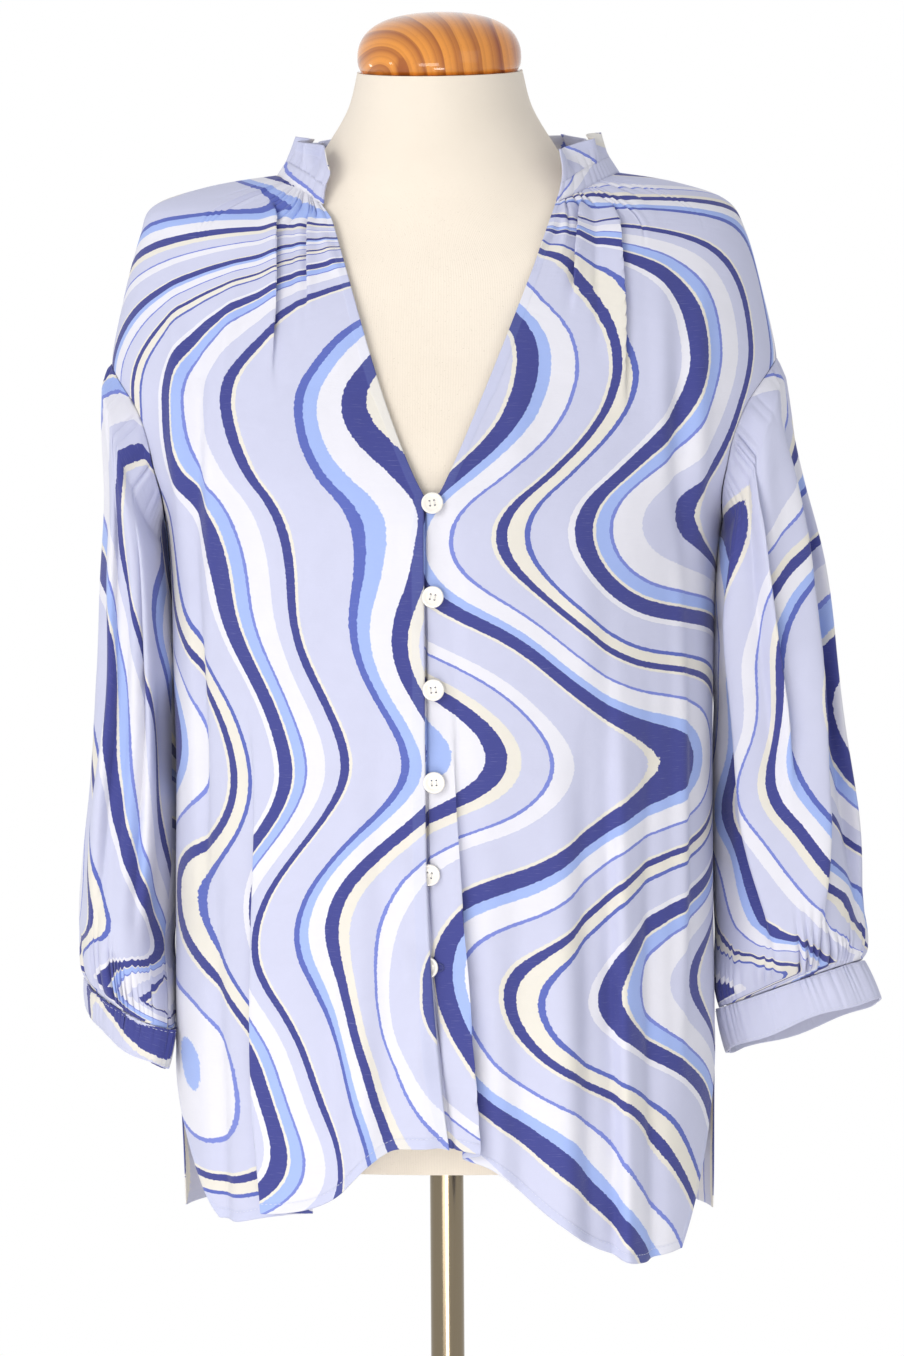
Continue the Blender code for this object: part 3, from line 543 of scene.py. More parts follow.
@dataclass(frozen=True)
class FormCover:
    """The form's tightly knitted cream cover."""

    name: str = "form_cover_knit"
    colour: tuple[float, float, float] = (0.880, 0.795, 0.680)
    worn: tuple[float, float, float] = (0.79, 0.70, 0.58)
    pill: tuple[float, float, float] = (0.62, 0.54, 0.44)
    rib: float = 0.0011  # pitch of the knit's ribs
    loop: float = 0.0008  # and of its loops along a rib

    def make(self) -> bpy.types.Material:
        """Builds the material."""
        material, graph = new_material(self.name)
        cut = graph.cut()
        u, v, _ = graph.parts(cut)
        ribs = graph.maths("SINE", u * (TAU / self.rib))
        loops = graph.maths("SINE", v * (TAU / self.loop) + ribs * 1.2)
        knit = ribs * 0.5 + loops * 0.5
        pills = graph.step(graph.noise(cut, 900.0, 2.0, 0.5), 0.63, 0.75)
        wear = graph.noise(graph.place(), 9.0, 4.0, 0.6)
        colour = graph.blend(graph.step(wear, 0.35, 0.75) * 0.30, self.colour, self.worn)
        colour = graph.blend(pills * 0.20, colour, self.pill)
        # Painted shade: the knit is drawn darker between its ribs and loops, where its bump is low.
        tone_and_thread_shade = 0.975 + knit * 0.025
        colour = graph.blend(1.0, colour, graph.joined(tone_and_thread_shade, tone_and_thread_shade, tone_and_thread_shade), "MULTIPLY")
        fine = graph.bump(knit * 0.00006 + pills * 0.0002, 1.0, 0.8)
        normal = graph.bump(wear * 0.0012, 1.0, 0.4, fine)
        graph.dress(
            Base_Color=colour, Roughness=0.82 + wear * 0.12, Normal=normal, Sheen_Weight=0.12,
            Sheen_Roughness=0.5, Specular_IOR_Level=0.25,
        )
        return material


@dataclass(frozen=True)
class VarnishedWood:
    """Turned softwood under a thick glossy varnish."""

    name: str = "varnished_pine"
    pale: tuple[float, float, float] = (0.710, 0.255, 0.030)
    dark: tuple[float, float, float] = (0.230, 0.030, 0.001)
    pore: tuple[float, float, float] = (0.28, 0.075, 0.012)
    blush: tuple[float, float, float] = (0.72, 0.31, 0.05)

    def make(self) -> bpy.types.Material:
        """Builds the material: a tree's rings round an axis that runs front to back, and pores."""
        material, graph = new_material(self.name)
        place = graph.place()
        x, y, z = graph.parts(place)
        slow = graph.noise(place, 11.0, 2.0, 0.5)
        across, up = x + 0.038, z - NECK_TOP + 0.0085
        radius = graph.length(graph.joined(across, y * 0.22 + 0.006, up)) + (slow - 0.5) * 0.013
        rings, fine = graph.maths("FRACT", radius * 84.0), graph.maths("FRACT", radius * 231.0)
        late = graph.step(rings, 0.20, 0.93) * (1.0 - graph.step(rings, 0.94, 1.0))
        late = late * 0.80 + graph.step(fine, 0.35, 0.9) * (1.0 - graph.step(fine, 0.9, 1.0)) * 0.22
        knot = graph.length(graph.joined(x + 0.0215, y * 0.3 + 0.016, (z - NECK_TOP + 0.005) * 0.75))
        late = late + (1.0 - graph.step(knot + (slow - 0.5) * 0.008, 0.0015, 0.0085)) * 0.9
        pores = graph.noise(graph.scaled(place, (900, 60, 500)), 1.0, 2.0, 0.6)
        colour = graph.blend(graph.clamp01(late), self.pale, self.dark)
        colour = graph.blend(graph.step(pores, 0.55, 0.8) * 0.25, colour, self.pore)
        colour = graph.blend(graph.step(slow, 0.45, 0.7) * 0.25, colour, self.blush)
        graph.dress(
            Base_Color=colour, Roughness=0.30 + pores * 0.12, Specular_IOR_Level=0.15, Coat_Weight=0.85,
            Coat_Roughness=0.05, Coat_IOR=1.5, Normal=graph.bump(pores * 0.00005, 1.0, 0.4),
        )
        return material


@dataclass(frozen=True)
class SatinSteel:
    """Brushed steel with fine lines that run round or along."""

    name: str
    lines: tuple[float, float, float]
    colour: tuple[float, float, float] = (0.205, 0.165, 0.110)
    bright: tuple[float, float, float] = (0.31, 0.27, 0.21)
    speck: tuple[float, float, float] = (0.22, 0.20, 0.18)

    def make(self) -> bpy.types.Material:
        """Builds the material."""
        material, graph = new_material(self.name)
        brushed = graph.noise(graph.scaled(graph.place(), self.lines), 1.0, 3.0, 0.6)
        specks = graph.noise(graph.place(), 350.0, 2.0, 0.5)
        colour = graph.blend(brushed * 0.30, self.colour, self.bright)
        colour = graph.blend(graph.step(specks, 0.70, 0.80) * 0.5, colour, self.speck)
        graph.dress(
            Base_Color=colour, Metallic=1.0, Roughness=0.12 + brushed * 0.12,
            Normal=graph.bump(brushed * 0.00004, 1.0, 0.5),
        )
        return material


@dataclass(frozen=True)
class ShellButton:
    """Polished off-white shell with a faint cloudy lustre."""

    name: str = "shell_white"
    dull: tuple[float, float, float] = (0.80, 0.76, 0.69)
    bright: tuple[float, float, float] = (0.88, 0.85, 0.79)

    def make(self) -> bpy.types.Material:
        """Builds the material."""
        material, graph = new_material(self.name)
        cloud = graph.noise(graph.place(), 160.0, 3.0, 0.6, 1.5)
        colour = graph.blend(cloud, self.dull, self.bright)
        graph.dress(
            Base_Color=colour, Roughness=0.16 + cloud * 0.12, Coat_Weight=0.5, Coat_Roughness=0.08,
            Normal=graph.bump(cloud * 0.0001, 1.0, 0.3),
        )
        return material


@dataclass(frozen=True)
class SpunThread:
    """Sewing thread or cord with a visible twist, its grooves darkened with painted shade."""

    name: str
    colour: tuple[float, float, float]
    pitch: float = 0.0004

    def make(self) -> bpy.types.Material:
        """Builds the material."""
        material, graph = new_material(self.name)
        x, _, z = graph.parts(graph.place())
        # Painted shade: the twist's grooves are drawn darker in colour, where its bump is low.
        twist = graph.maths("SINE", (x + z) * (TAU / self.pitch))
        shade = tuple(0.72 * part for part in self.colour)
        colour = graph.blend(graph.step(twist, -1.0, 1.0), shade, self.colour)
        normal = graph.bump(twist * 0.00008, 1.0, 0.6)
        graph.dress(Base_Color=colour, Roughness=0.7 + twist * 0.06, Normal=normal)
        return material


@dataclass(frozen=True)
class PaleFloor:
    """A matt, nearly white studio floor."""

    name: str = "pale_floor"

    def make(self) -> bpy.types.Material:
        """Builds the material."""
        material, graph = new_material(self.name)
        mottle = graph.noise(graph.place(), 3.0, 3.0, 0.5)
        colour = graph.blend(mottle, (0.86, 0.86, 0.86), (0.90, 0.90, 0.90))
        graph.dress(Base_Color=colour, Roughness=0.75 + mottle * 0.1)
        return material


# ------------------------------------------------------------------ meshes
def spread(count: int, fine: int, edge: float) -> Array:
    """Shares from 0 to 1, with `fine` short steps over `edge` at either end."""
    middle = np.linspace(edge, 1.0 - edge, count - 2 * fine + 1)
    short = np.linspace(0.0, edge, fine, endpoint=False)
    return np.concatenate((short, middle, 1.0 - short[::-1]))


@dataclass
class ClothGrid:
    """A shell of cloth made from a grid of points.

    across and up are the shares of the columns and rows; shape gives the points for a whole grid
    of them, and rim each point's distance from the nearest turned edge.
    """

    name: str
    across: Array
    up: Array
    shape: Callable[[Array, Array], Array]
    rise: Callable[[Array, Array], Array]
    rim: Callable[[Array, Array, Array, Array], Array]
    thickness: float = CLOTH
    closed_below: float = -1.0  # first and last columns are one below this share of `up`
    start: Callable[[Array], Array] = lambda up: np.zeros_like(up)

    def build(self) -> tuple[bpy.types.Object, tuple[float, float], float]:
        """Makes the shell.

        Returns:
            The object, the width and length of its flat cut, and the cut's area.
        """
        columns, rows = len(self.across), len(self.up)
        share, level = np.meshgrid(self.across, self.up)
        points = self.shape(share, level)
        steps = np.linalg.norm(np.diff(points, axis=1), axis=2)
        flat_u = np.concatenate((np.zeros((rows, 1)), np.cumsum(steps, axis=1)), axis=1)
        flat_u += self.start(self.up)[:, None]
        flat_v = self.rise(share, level)
        rim = self.rim(share, level, flat_u, flat_v)
        grid = bmesh.new()
        bmesh.ops.create_grid(grid, x_segments=columns - 1, y_segments=rows - 1, size=0.5)
        grid.verts.ensure_lookup_table()
        places = np.array([vert.co[:2] for vert in grid.verts]) + 0.5
        column = np.rint(places[:, 0] * (columns - 1)).astype(int)
        row = np.rint(places[:, 1] * (rows - 1)).astype(int)
        cut_layer = grid.loops.layers.uv.new("cut")
        rim_layer = grid.loops.layers.uv.new("rim")
        for vert, c, r in zip(grid.verts, column, row):
            vert.co = points[r, c]
        for face in grid.faces:
            for corner in face.loops:
                c, r = column[corner.vert.index], row[corner.vert.index]
                corner[cut_layer].uv = (flat_u[r, c], flat_v[r, c])
                corner[rim_layer].uv = (rim[r, c], level[r, c])
        self._close(grid, column, row, columns)
        du, dv = flat_u[:, 1:] - flat_u[:, :-1], flat_v[1:, :] - flat_v[:-1, :]
        area = float(np.sum(0.25 * (du[1:] + du[:-1]) * (dv[:, 1:] + dv[:, :-1])))
        size = (float(np.ptp(flat_u)), float(np.ptp(flat_v)))
        made = finished(self.name, grid)
        wall = made.modifiers.new("wall", "SOLIDIFY")
        wall.thickness = self.thickness
        wall.offset = 0.0
        return made, size, abs(area)

    def _close(self, grid: bmesh.types.BMesh, column: Array, row: Array, columns: int) -> None:
        """Joins the last column to the first where the piece is a tube."""
        heights = self.up[row]
        ends = {}
        for vert, c, r in zip(grid.verts, column, row):
            if c in (0, columns - 1) and heights[vert.index] <= self.closed_below:
                ends.setdefault(r, {})[c] = vert
        pairs = {pair[columns - 1]: pair[0] for pair in ends.values()}
        if pairs:
            bmesh.ops.weld_verts(grid, targetmap=pairs)


def no_rim(share: Array, _level: Array, _u: Array, _v: Array) -> Array:
    """The rim distances of a piece without turned edges: all of it is far from one."""
    return np.full_like(share, 1.0)


def finished(name: str, builder: bmesh.types.BMesh, crease: float = 50.0) -> bpy.types.Object:
    """Turns a bmesh into a smooth-shaded object with its faces outwards."""
    bmesh.ops.recalc_face_normals(builder, faces=builder.faces)
    mesh = bpy.data.meshes.new(name)
    builder.to_mesh(mesh)
    builder.free()
    mesh.shade_smooth()
    mesh.set_sharp_from_angle(angle=math.radians(crease))
    made = bpy.data.objects.new(name, mesh)
    bpy.context.scene.collection.objects.link(made)
    return made


def turned(profile: Sequence[tuple[float, float]], segments: int) -> bmesh.types.BMesh:
    """A body turned about Z from (radius, height) points, its poles closed."""
    lathe = bmesh.new()
    line = [lathe.verts.new((radius, 0.0, height)) for radius, height in profile]
    edges = [lathe.edges.new(pair) for pair in zip(line, line[1:])]
    bmesh.ops.spin(
        lathe, geom=line + edges, cent=(0, 0, 0), axis=(0, 0, 1), angle=TAU, steps=segments, use_merge=True,
    )
    bmesh.ops.remove_doubles(lathe, verts=lathe.verts, dist=1e-7)
    return lathe


def rounded(profile: Sequence[tuple[float, float]], steps: int) -> list[tuple[float, float]]:
    """A smooth Catmull-Rom line through a profile's points."""
    table = np.array(profile)
    table = np.vstack((table[0], table, table[-1]))
    line = []
    for p0, p1, p2, p3 in zip(table, table[1:], table[2:], table[3:]):
        line += [tuple(catmull_rom(p0, p1, p2, p3, step / steps)) for step in range(steps)]
    line.append(tuple(table[-1]))
    return [(max(0.0, radius), height) for radius, height in line]


def settle(piece: bpy.types.Object, material: bpy.types.Material, slot: str, *nodes: str) -> bpy.types.Object:
    """Dresses a piece, puts it on the frame in place of its nodes and reports it."""
    piece.data.materials.clear()
    piece.data.materials.append(material)
    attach(piece, "root")
    if nodes:
        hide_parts(*nodes)
    LOG.info("%s: %d faces, %s", piece.name, len(piece.data.polygons), material.name)
    return piece


# ------------------------------------------------------------------ fronts and back
@dataclass(frozen=True)
class Crease:
    """A fold laid on a panel, from top to foot, each an (x, z) seen from the front.

    width is its half width and depth how far it stands out, or in below zero. A fold with an
    overlap is a pleat whose edge lies over its neighbour, to +x if the overlap is above zero.
    bow bends its line to +x and fades are the shares over which its ends die out.
    """

    top: tuple[float, float]
    foot: tuple[float, float]
    width: float
    depth: float
    overlap: float = 0.0
    bow: float = 0.0
    fades: tuple[float, float] = (0.4, 0.3)

    def push(self, base: Array, half_width: Array) -> tuple[Array, Array]:
        """How far the fold moves each point.

        Args:
            base: Points of the smooth panel.
            half_width: Half width of the body at each point.

        Returns:
            Outward and sideways displacement; sideways is positive to +x.
        """
        x, z = base[..., 0], base[..., 2]
        along = (self.top[1] - z) / (self.top[1] - self.foot[1])
        inside = (along > 0) & (along < 1)
        line = self.top[0] + (self.foot[0] - self.top[0]) * along
        line = line + self.bow * np.sin(math.pi * np.clip(along, 0, 1))
        slope = np.sqrt(np.maximum(1.0 - (line / half_width) ** 2, 0.06))
        off = (x - line) / (self.width * slope)
        fade = smooth(along / self.fades[0]) if self.fades[0] else 1.0
        if self.fades[1]:
            fade = fade * smooth((1.0 - along) / self.fades[1])
        fade = np.where(inside, fade, 0.0)
        return fold_push(off, fade, self.depth, self.overlap)


FRONT_RIGHT_CREASES = (
    # the deep pleat that laps over towards the side seam, and the pleats beside it
    Crease((-0.124, 1.060), (-0.0905, 0.600), 0.020, 0.0046, -0.0270, -0.002, (0.75, 0.0)),
    Crease((-0.072, 0.960), (-0.066, 0.600), 0.010, -0.0036, 0.0, 0.002, (0.6, 0.0)),
    Crease((-0.150, 1.000), (-0.140, 0.600), 0.010, -0.0045, 0.0, 0.0, (0.7, 0.0)),
    Crease((-0.160, 1.140), (-0.154, 0.800), 0.009, -0.0060, 0.0, 0.001, (0.4, 0.5)),
    Crease((-0.052, 0.900), (-0.046, 0.600), 0.013, 0.0050, 0.0, 0.003, (0.6, 0.0)),
    Crease((-0.034, 1.060), (-0.028, 0.640), 0.009, -0.0030, 0.0, -0.003, (0.5, 0.2)),
    Crease((-0.018, 0.860), (-0.004, 0.600), 0.008, 0.0034, 0.0, 0.004, (0.5, 0.0)),
    # from bust and shoulder
    Crease((-0.075, 1.140), (-0.092, 0.940), 0.014, 0.0032, 0.0, 0.004, (0.5, 0.5)),
    Crease((-0.173, 1.290), (-0.169, 1.050), 0.012, 0.0046, 0.0, 0.004, (0.4, 0.5)),
    Crease((-0.158, 1.260), (-0.160, 1.060), 0.010, -0.0040, 0.0, 0.003, (0.5, 0.4)),
    Crease((-0.149, 1.235), (-0.147, 1.010), 0.006, 0.0018, 0.0, 0.002, (0.3, 0.4)),
    Crease((-0.128, 1.300), (-0.150, 1.150), 0.008, 0.0026, 0.0, 0.004, (0.5, 0.5)),
    Crease((-0.1065, 1.322), (-0.1030, 1.180), 0.0062, 0.0034, 0.0062, 0.0, (0.12, 0.6)),
    Crease((-0.093, 1.318), (-0.091, 1.205), 0.0042, -0.0024, 0.0, -0.002, (0.2, 0.6)),
    Crease((-0.083, 1.316), (-0.082, 1.230), 0.0036, 0.0026, -0.0020, 0.0, (0.2, 0.6)),
    Crease((-0.074, 1.300), (-0.060, 1.262), 0.0040, 0.0022, 0.0, 0.0, (0.3, 0.4)),
    Crease((-0.060, 1.240), (-0.052, 1.120), 0.010, 0.0018, 0.0, 0.002, (0.5, 0.5)),
)

FRONT_LEFT_CREASES = (
    # the edge of the underlap's turned band, then soft pipes to the side
    Crease((0.0135, 1.070), (0.0310, 0.600), 0.0082, 0.0052, 0.0104, -0.0055, (0.7, 0.0)),
    Crease((0.0205, 0.990), (0.0425, 0.600), 0.0062, -0.0036, 0.0, -0.0030, (0.6, 0.0)),
    Crease((0.0115, 1.112), (0.0165, 0.930), 0.0060, -0.0020, 0.0, 0.000, (0.3, 0.5)),
    Crease((0.050, 0.960), (0.056, 0.600), 0.011, -0.0044, 0.0, 0.002, (0.6, 0.0)),
    Crease((0.076, 1.020), (0.083, 0.600), 0.012, 0.0056, 0.0, 0.003, (0.6, 0.0)),
    Crease((0.099, 1.080), (0.101, 0.600), 0.009, -0.0050, 0.0, -0.002, (0.6, 0.0)),
    Crease((0.113, 1.090), (0.1185, 0.600), 0.012, 0.0050, -0.0030, 0.000, (0.6, 0.0)),
    Crease((0.139, 1.080), (0.142, 0.600), 0.009, -0.0052, 0.0, -0.002, (0.6, 0.0)),
    Crease((0.156, 1.150), (0.157, 0.690), 0.009, 0.0050, 0.0, 0.000, (0.5, 0.4)),
    # from bust and shoulder
    Crease((0.086, 1.150), (0.101, 0.930), 0.014, 0.0034, 0.0, 0.003, (0.5, 0.5)),
    Crease((0.1155, 1.318), (0.1245, 1.160), 0.0058, 0.0042, 0.0052, 0.001, (0.12, 0.6)),
    Crease((0.104, 1.316), (0.107, 1.205), 0.0042, -0.0026, 0.0, 0.000, (0.2, 0.6)),
    Crease((0.0955, 1.320), (0.0880, 1.235), 0.0046, 0.0042, -0.0040, 0.000, (0.12, 0.6)),
    Crease((0.087, 1.314), (0.062, 1.280), 0.0040, 0.0024, 0.0, 0.0, (0.2, 0.25)),
    Crease((0.084, 1.302), (0.060, 1.266), 0.0036, -0.0018, 0.0, 0.0, (0.3, 0.3)),
    Crease((0.143, 1.300), (0.146, 1.100), 0.010, 0.0030, 0.0, 0.002, (0.4, 0.5)),
    Crease((0.173, 1.285), (0.170, 1.060), 0.012, 0.0044, 0.0, -0.002, (0.4, 0.5)),
    Crease((0.158, 1.250), (0.161, 1.060), 0.010, -0.0040, 0.0, -0.002, (0.5, 0.4)),
    Crease((0.062, 1.230), (0.050, 1.110), 0.010, 0.0020, 0.0, -0.002, (0.5, 0.5)),
)

BACK_CREASES = (
    Crease((0.004, 1.270), (0.000, 0.600), 0.017, -0.0055, 0.0, 0.002, (0.5, 0.0)),
    Crease((-0.040, 1.230), (-0.046, 0.600), 0.014, 0.0060, 0.0130, 0.003, (0.5, 0.0)),
    Crease((0.045, 1.230), (0.050, 0.600), 0.014, 0.0058, -0.0120, -0.003, (0.5, 0.0)),
    Crease((-0.078, 1.180), (-0.084, 0.600), 0.013, -0.0060, 0.0, 0.0, (0.5, 0.0)),
    Crease((0.082, 1.200), (0.090, 0.600), 0.013, -0.0058, 0.0, 0.0, (0.5, 0.0)),
    Crease((-0.112, 1.120), (-0.116, 0.600), 0.013, 0.0060, 0.0, -0.002, (0.5, 0.0)),
    Crease((0.118, 1.100), (0.122, 0.600), 0.013, 0.0056, 0.0, 0.002, (0.5, 0.0)),
    Crease((-0.143, 1.060), (-0.144, 0.600), 0.010, -0.0055, 0.0, 0.0, (0.5, 0.0)),
    Crease((0.148, 1.050), (0.150, 0.600), 0.010, -0.0055, 0.0, 0.0, (0.5, 0.0)),
    Crease((-0.166, 1.000), (-0.165, 0.640), 0.009, 0.0045, 0.0, 0.0, (0.5, 0.3)),
    Crease((0.168, 0.990), (0.168, 0.640), 0.009, 0.0045, 0.0, 0.0, (0.5, 0.3)),
    Crease((-0.150, 1.280), (-0.156, 1.080), 0.012, 0.0036, 0.0, 0.0, (0.4, 0.5)),
    Crease((0.152, 1.280), (0.158, 1.070), 0.012, 0.0036, 0.0, 0.0, (0.4, 0.5)),
)


def closing_x(height: Array) -> Array:
    """Where the right front's edge runs, from straight above to swung left at the hem."""
    return -0.0045 + 0.0165 * np.maximum(0.0, (0.92 - height) / 0.23) ** 2


def button_height(number: int) -> float:
    """The height of a button's middle; the buttons are counted from the top."""
    return BUTTON_TOP - BUTTON_PITCH * (number - 1)


def front_edge_angle(position: Array, side: int) -> Array:
    """The angle of a front's inner edge on a ring; side is 1 for the left front, -1 for the right."""
    angle = np.full_like(np.asarray(position, float), math.pi / 2)
    for _ in range(12):
        height = BODY.point(position, angle)[..., 2]
        share = np.maximum(0.0, (height - V_FOOT) / (V_TOP - V_FOOT))
        opening = side * (0.004 + 0.0725 * share**0.85) + 0.004 * smooth((height - 1.16) / 0.15)
        if side < 0:
            opening = opening - 0.0050 * smooth((height - 1.304) / 0.016)
        under = closing_x(height) - (UNDERLAP if side > 0 else 0.0)
        x = under + (opening - under) * smooth((height - V_FOOT + 0.008) / 0.010)
        angle = BODY.angle_of_x(position, x)
    return angle


def armhole_angle(position: Array) -> Array:
    """Half the armhole's width on a ring, as an angle."""
    share = 1.0 - ((np.asarray(position, float) - ARMHOLE_MIDDLE) / ARMHOLE_REACH) ** 2
    return ARMHOLE_ANGLE * np.sqrt(np.maximum(0.0, share))


def hem_ring(angle: Array) -> Array:
    """How high the hem runs, as a ring position: raised at centre front and back."""
    across = np.abs(np.cos(angle))
    left = 0.714 - 0.074 * smooth((across + 0.06) / 0.80) + 0.006 * smooth((across - 0.72) / 0.16)
    right = 0.7125 - 0.039 * smooth((across - 0.09) / 0.33) - 0.008 * smooth((across - 0.55) / 0.17)
    front = np.where(np.cos(angle) > 0, left, right)
    back = 0.682 - 0.026 * smooth((across - 0.2) / 0.6)
    return (np.where(np.sin(angle) < 0, back, front) - HEM_BASE) / HEM_SPAN


def row_position(level: Array, angle: Array) -> Array:
    """The ring position of a panel's row; the lowest rows follow the hem's curve."""
    hem = hem_ring(angle)
    return np.where(level >= SLIT_RING, level, hem + (SLIT_RING - hem) * level / SLIT_RING)


class PanelKind(Enum):
    """Which panel of the body a piece is; a front's value is its side."""

    LEFT_FRONT = 1
    RIGHT_FRONT = -1
    BACK = 0


PANEL_NODE = {
    PanelKind.LEFT_FRONT: "front_left", PanelKind.RIGHT_FRONT: "front_right", PanelKind.BACK: "back",
}
SIDE_SEAM = {PanelKind.LEFT_FRONT: 0.0, PanelKind.RIGHT_FRONT: math.pi, PanelKind.BACK: 0.0}
SLIT_DEGREES = {PanelKind.LEFT_FRONT: 31, PanelKind.RIGHT_FRONT: 38, PanelKind.BACK: 7}
# How many narrow columns there are at either edge of a panel, and the share of it that they cover.
FINE_COLUMNS = {
    PanelKind.LEFT_FRONT: (26, 0.060), PanelKind.RIGHT_FRONT: (8, 0.032), PanelKind.BACK: (8, 0.018),
}


@dataclass
class Panel:
    """A front or the back: from the hem up to the neck seam, with its armholes cut out."""

    name: str
    kind: PanelKind
    creases: tuple[Crease, ...]
    cloth: PrintCloth
    columns: int = 172
    seed: float = 0.3
    neck_gathers: float = 15.0
    gather_depth: float = 0.0021

    @staticmethod
    def levels() -> Array:
        """Ring positions of all rows, close together at the hem and round the armhole's ends."""
        hem = np.linspace(0.0, 0.2, 16, endpoint=False)
        skirt = np.linspace(0.2, UNDERARM_RING, 100, endpoint=False)
        armhole = ARMHOLE_MIDDLE - ARMHOLE_REACH * np.cos(np.linspace(0.0, math.pi, 41))
        top = np.linspace(SHOULDER_RING, NECK_RING, 70)[1:]
        return np.concatenate((hem, skirt, armhole, top))

    def angle(self, share: Array, level: Array) -> Array:
        """The angle of each point on its ring."""
        spread_out = math.radians(SLIT_DEGREES[self.kind]) * np.maximum(0.0, SLIT_RING - level) ** 0.9
        inside = (level > UNDERARM_RING) & (level < SHOULDER_RING)
        side = np.where(inside, armhole_angle(level), 0.0) + spread_out
        side = side + 0.00008 / BODY.at(level)[..., 2]
        if self.kind is PanelKind.BACK:
            return -side - (math.pi - 2 * side) * share
        stop = front_edge_angle(row_position(level, np.full_like(level, math.pi / 2)), self.kind.value)
        start = math.pi - side if self.kind is PanelKind.RIGHT_FRONT else side
        return start + (stop - start) * share

    def shape(self, share: Array, level: Array) -> Array:
        """Points of the panel with its folds, gathers, hem and underlap."""
        angle = self.angle(share, level)
        position = row_position(level, angle)
        base = BODY.point(position, angle)
        normal = BODY.normal(position, angle)
        half_width = BODY.at(position)[..., 1]
        degrees = np.degrees(angle) % 360
        from_side = np.minimum(np.abs(degrees), np.minimum(np.abs(degrees - 180), np.abs(degrees - 360)))
        # Folds die out at the side seam and in a wide ring round the armhole.
        ring = (level - ARMHOLE_MIDDLE) / ARMHOLE_REACH
        hole = np.hypot(ring, np.radians(from_side) / ARMHOLE_ANGLE)
        calm = 1.0 - (1.0 - smooth(from_side / 6.0)) * smooth((level - 0.85) / 0.3)
        calm = calm * smooth((hole - 1.0) / 0.40)
        outward = np.zeros_like(angle)
        sideways = np.zeros_like(angle)
        for crease in self.creases:
            out, slide = crease.push(base, half_width)
            outward += out
            sideways += slide
        outward = outward + 0.0011 * sway(base[..., 0], base[..., 2], self.seed)
        outward = calm * outward + self._gathered(share, level)
        outward = outward + self._turned_edge(share, level, angle) - self._drop(base)
        along = unit(np.cross(normal, np.array((0.0, 0.0, 1.0))))
        along *= np.sign(along[..., :1] + 1e-9)
        # Deep folds pull the hem up a little, and their crests hang down.
        low = np.clip(1.0 - level / 1.6, 0.0, 1.0)
        droop = np.zeros_like(base)
        droop[..., 2] = -0.14 * outward * low * (0.4 + 0.6 * (outward < 0))
        droop[..., 2] += 0.0013 * low * sway(1.6 * base[..., 0], base[..., 1], self.seed + 1.0)
        return base + normal * outward[..., None] + along * (calm * sideways)[..., None] + droop

    def _gathered(self, share: Array, level: Array) -> Array:
        """Small gathers that run down from the neck seam, each to its own length."""
        below = NECK_RING - level
        reach = 2.0 + 1.3 * np.sin(TAU * (3.7 * share + self.seed))
        size = smooth((below + 0.15) / 0.6) * (1.0 - smooth((below - 0.3) / reach))
        if self.kind is PanelKind.BACK:
            ends = smooth((share - 0.08) / 0.20) * smooth((0.92 - share) / 0.20)
        else:
            ends = smooth((share - 0.28) / 0.30) * smooth((1.0 - share) / 0.04)
        return self.gather_depth * size * ends * gathers(share, self.neck_gathers, self.seed)

    def _turned_edge(self, share: Array, level: Array, angle: Array) -> Array:
        """The hem, slit edges and inner edge are two layers thick, with a soft step."""
        inside = smooth((self._rim_guess(share, level, angle) - HEM_FOLD + 0.0008) / 0.0012)
        return HEM_SWELL * (1.0 - inside)

    def _rim_guess(self, share: Array, level: Array, angle: Array) -> Array:
        """About how far a point is from the nearest turned edge."""
        hem = hem_ring(angle)
        from_hem = np.where(level < SLIT_RING, (SLIT_RING - hem) * level * HEM_SPAN, 1.0)
        span = 0.50 if self.kind is PanelKind.BACK else 0.27
        side = np.minimum(share, 1.0 - share) if self.kind is PanelKind.BACK else share
        from_slit = side * span + np.maximum(0.0, level - SLIT_RING) * 0.1
        from_edge = 1.0 if self.kind is PanelKind.BACK else (1.0 - share) * span
        return np.minimum(np.minimum(from_hem, from_slit), from_edge)

    def _drop(self, base: Array) -> Array:
        """How much the left front lies lower where it runs under the right front."""
        height = base[..., 2]
        if self.kind is PanelKind.LEFT_FRONT:
            reach = (closing_x(height) + 0.020 - base[..., 0]) / 0.012
            gap = np.exp(-(((base[..., 0] - closing_x(height) - 0.0007) / 0.0008) ** 2))
            gap *= 0.0032 + 0.0014 * np.sin(TAU * (height - V_FOOT) / 0.118 + 0.6)
            return (UNDERLAP_DROP * smooth(reach) + gap) * smooth((V_FOOT + 0.03 - height) / 0.02)
        if self.kind is PanelKind.RIGHT_FRONT:
            # The edge gapes a little between the buttons.
            phase = (BUTTON_TOP - height) / BUTTON_PITCH
            gape = np.sin(math.pi * phase) ** 2 * smooth((BUTTON_TOP - height + 0.01) / 0.02)
            near = smooth((base[..., 0] - closing_x(height) + 0.018) / 0.018)
            # The two lowest buttons are half tucked under the edge.
            tucked = sum(np.exp(-(((height - button_height(number)) / 0.0115) ** 4)) for number in TUCKED)
            over = smooth((base[..., 0] - closing_x(height) + 0.026) / 0.012)
            return -0.0030 * gape * near * (1.0 - tucked) - 0.0034 * tucked * over
        return np.zeros_like(height)

    def rise(self, share: Array, level: Array) -> Array:
        """Length up the panel from the underarm's ring."""
        angle = self.angle(share, level)
        start = np.full_like(level, UNDERARM_RING)
        return BODY.length((start, angle), (row_position(level, angle), angle))

    def start(self, up: Array) -> Array:
        """Flat place of the side edge in each row, from the side seam's line."""
        angle = self.angle(np.zeros_like(up), up)
        position = row_position(up, angle)
        arc = BODY.length((position, np.full_like(up, SIDE_SEAM[self.kind])), (position, angle))
        return np.abs(arc) - 0.15 * smooth((up - SHOULDER_RING) / 5.0)

    def rim(self, share: Array, level: Array, _u: Array, _v: Array) -> Array:
        """Distance from the nearest turned edge."""
        return self._rim_guess(share, level, self.angle(share, level))

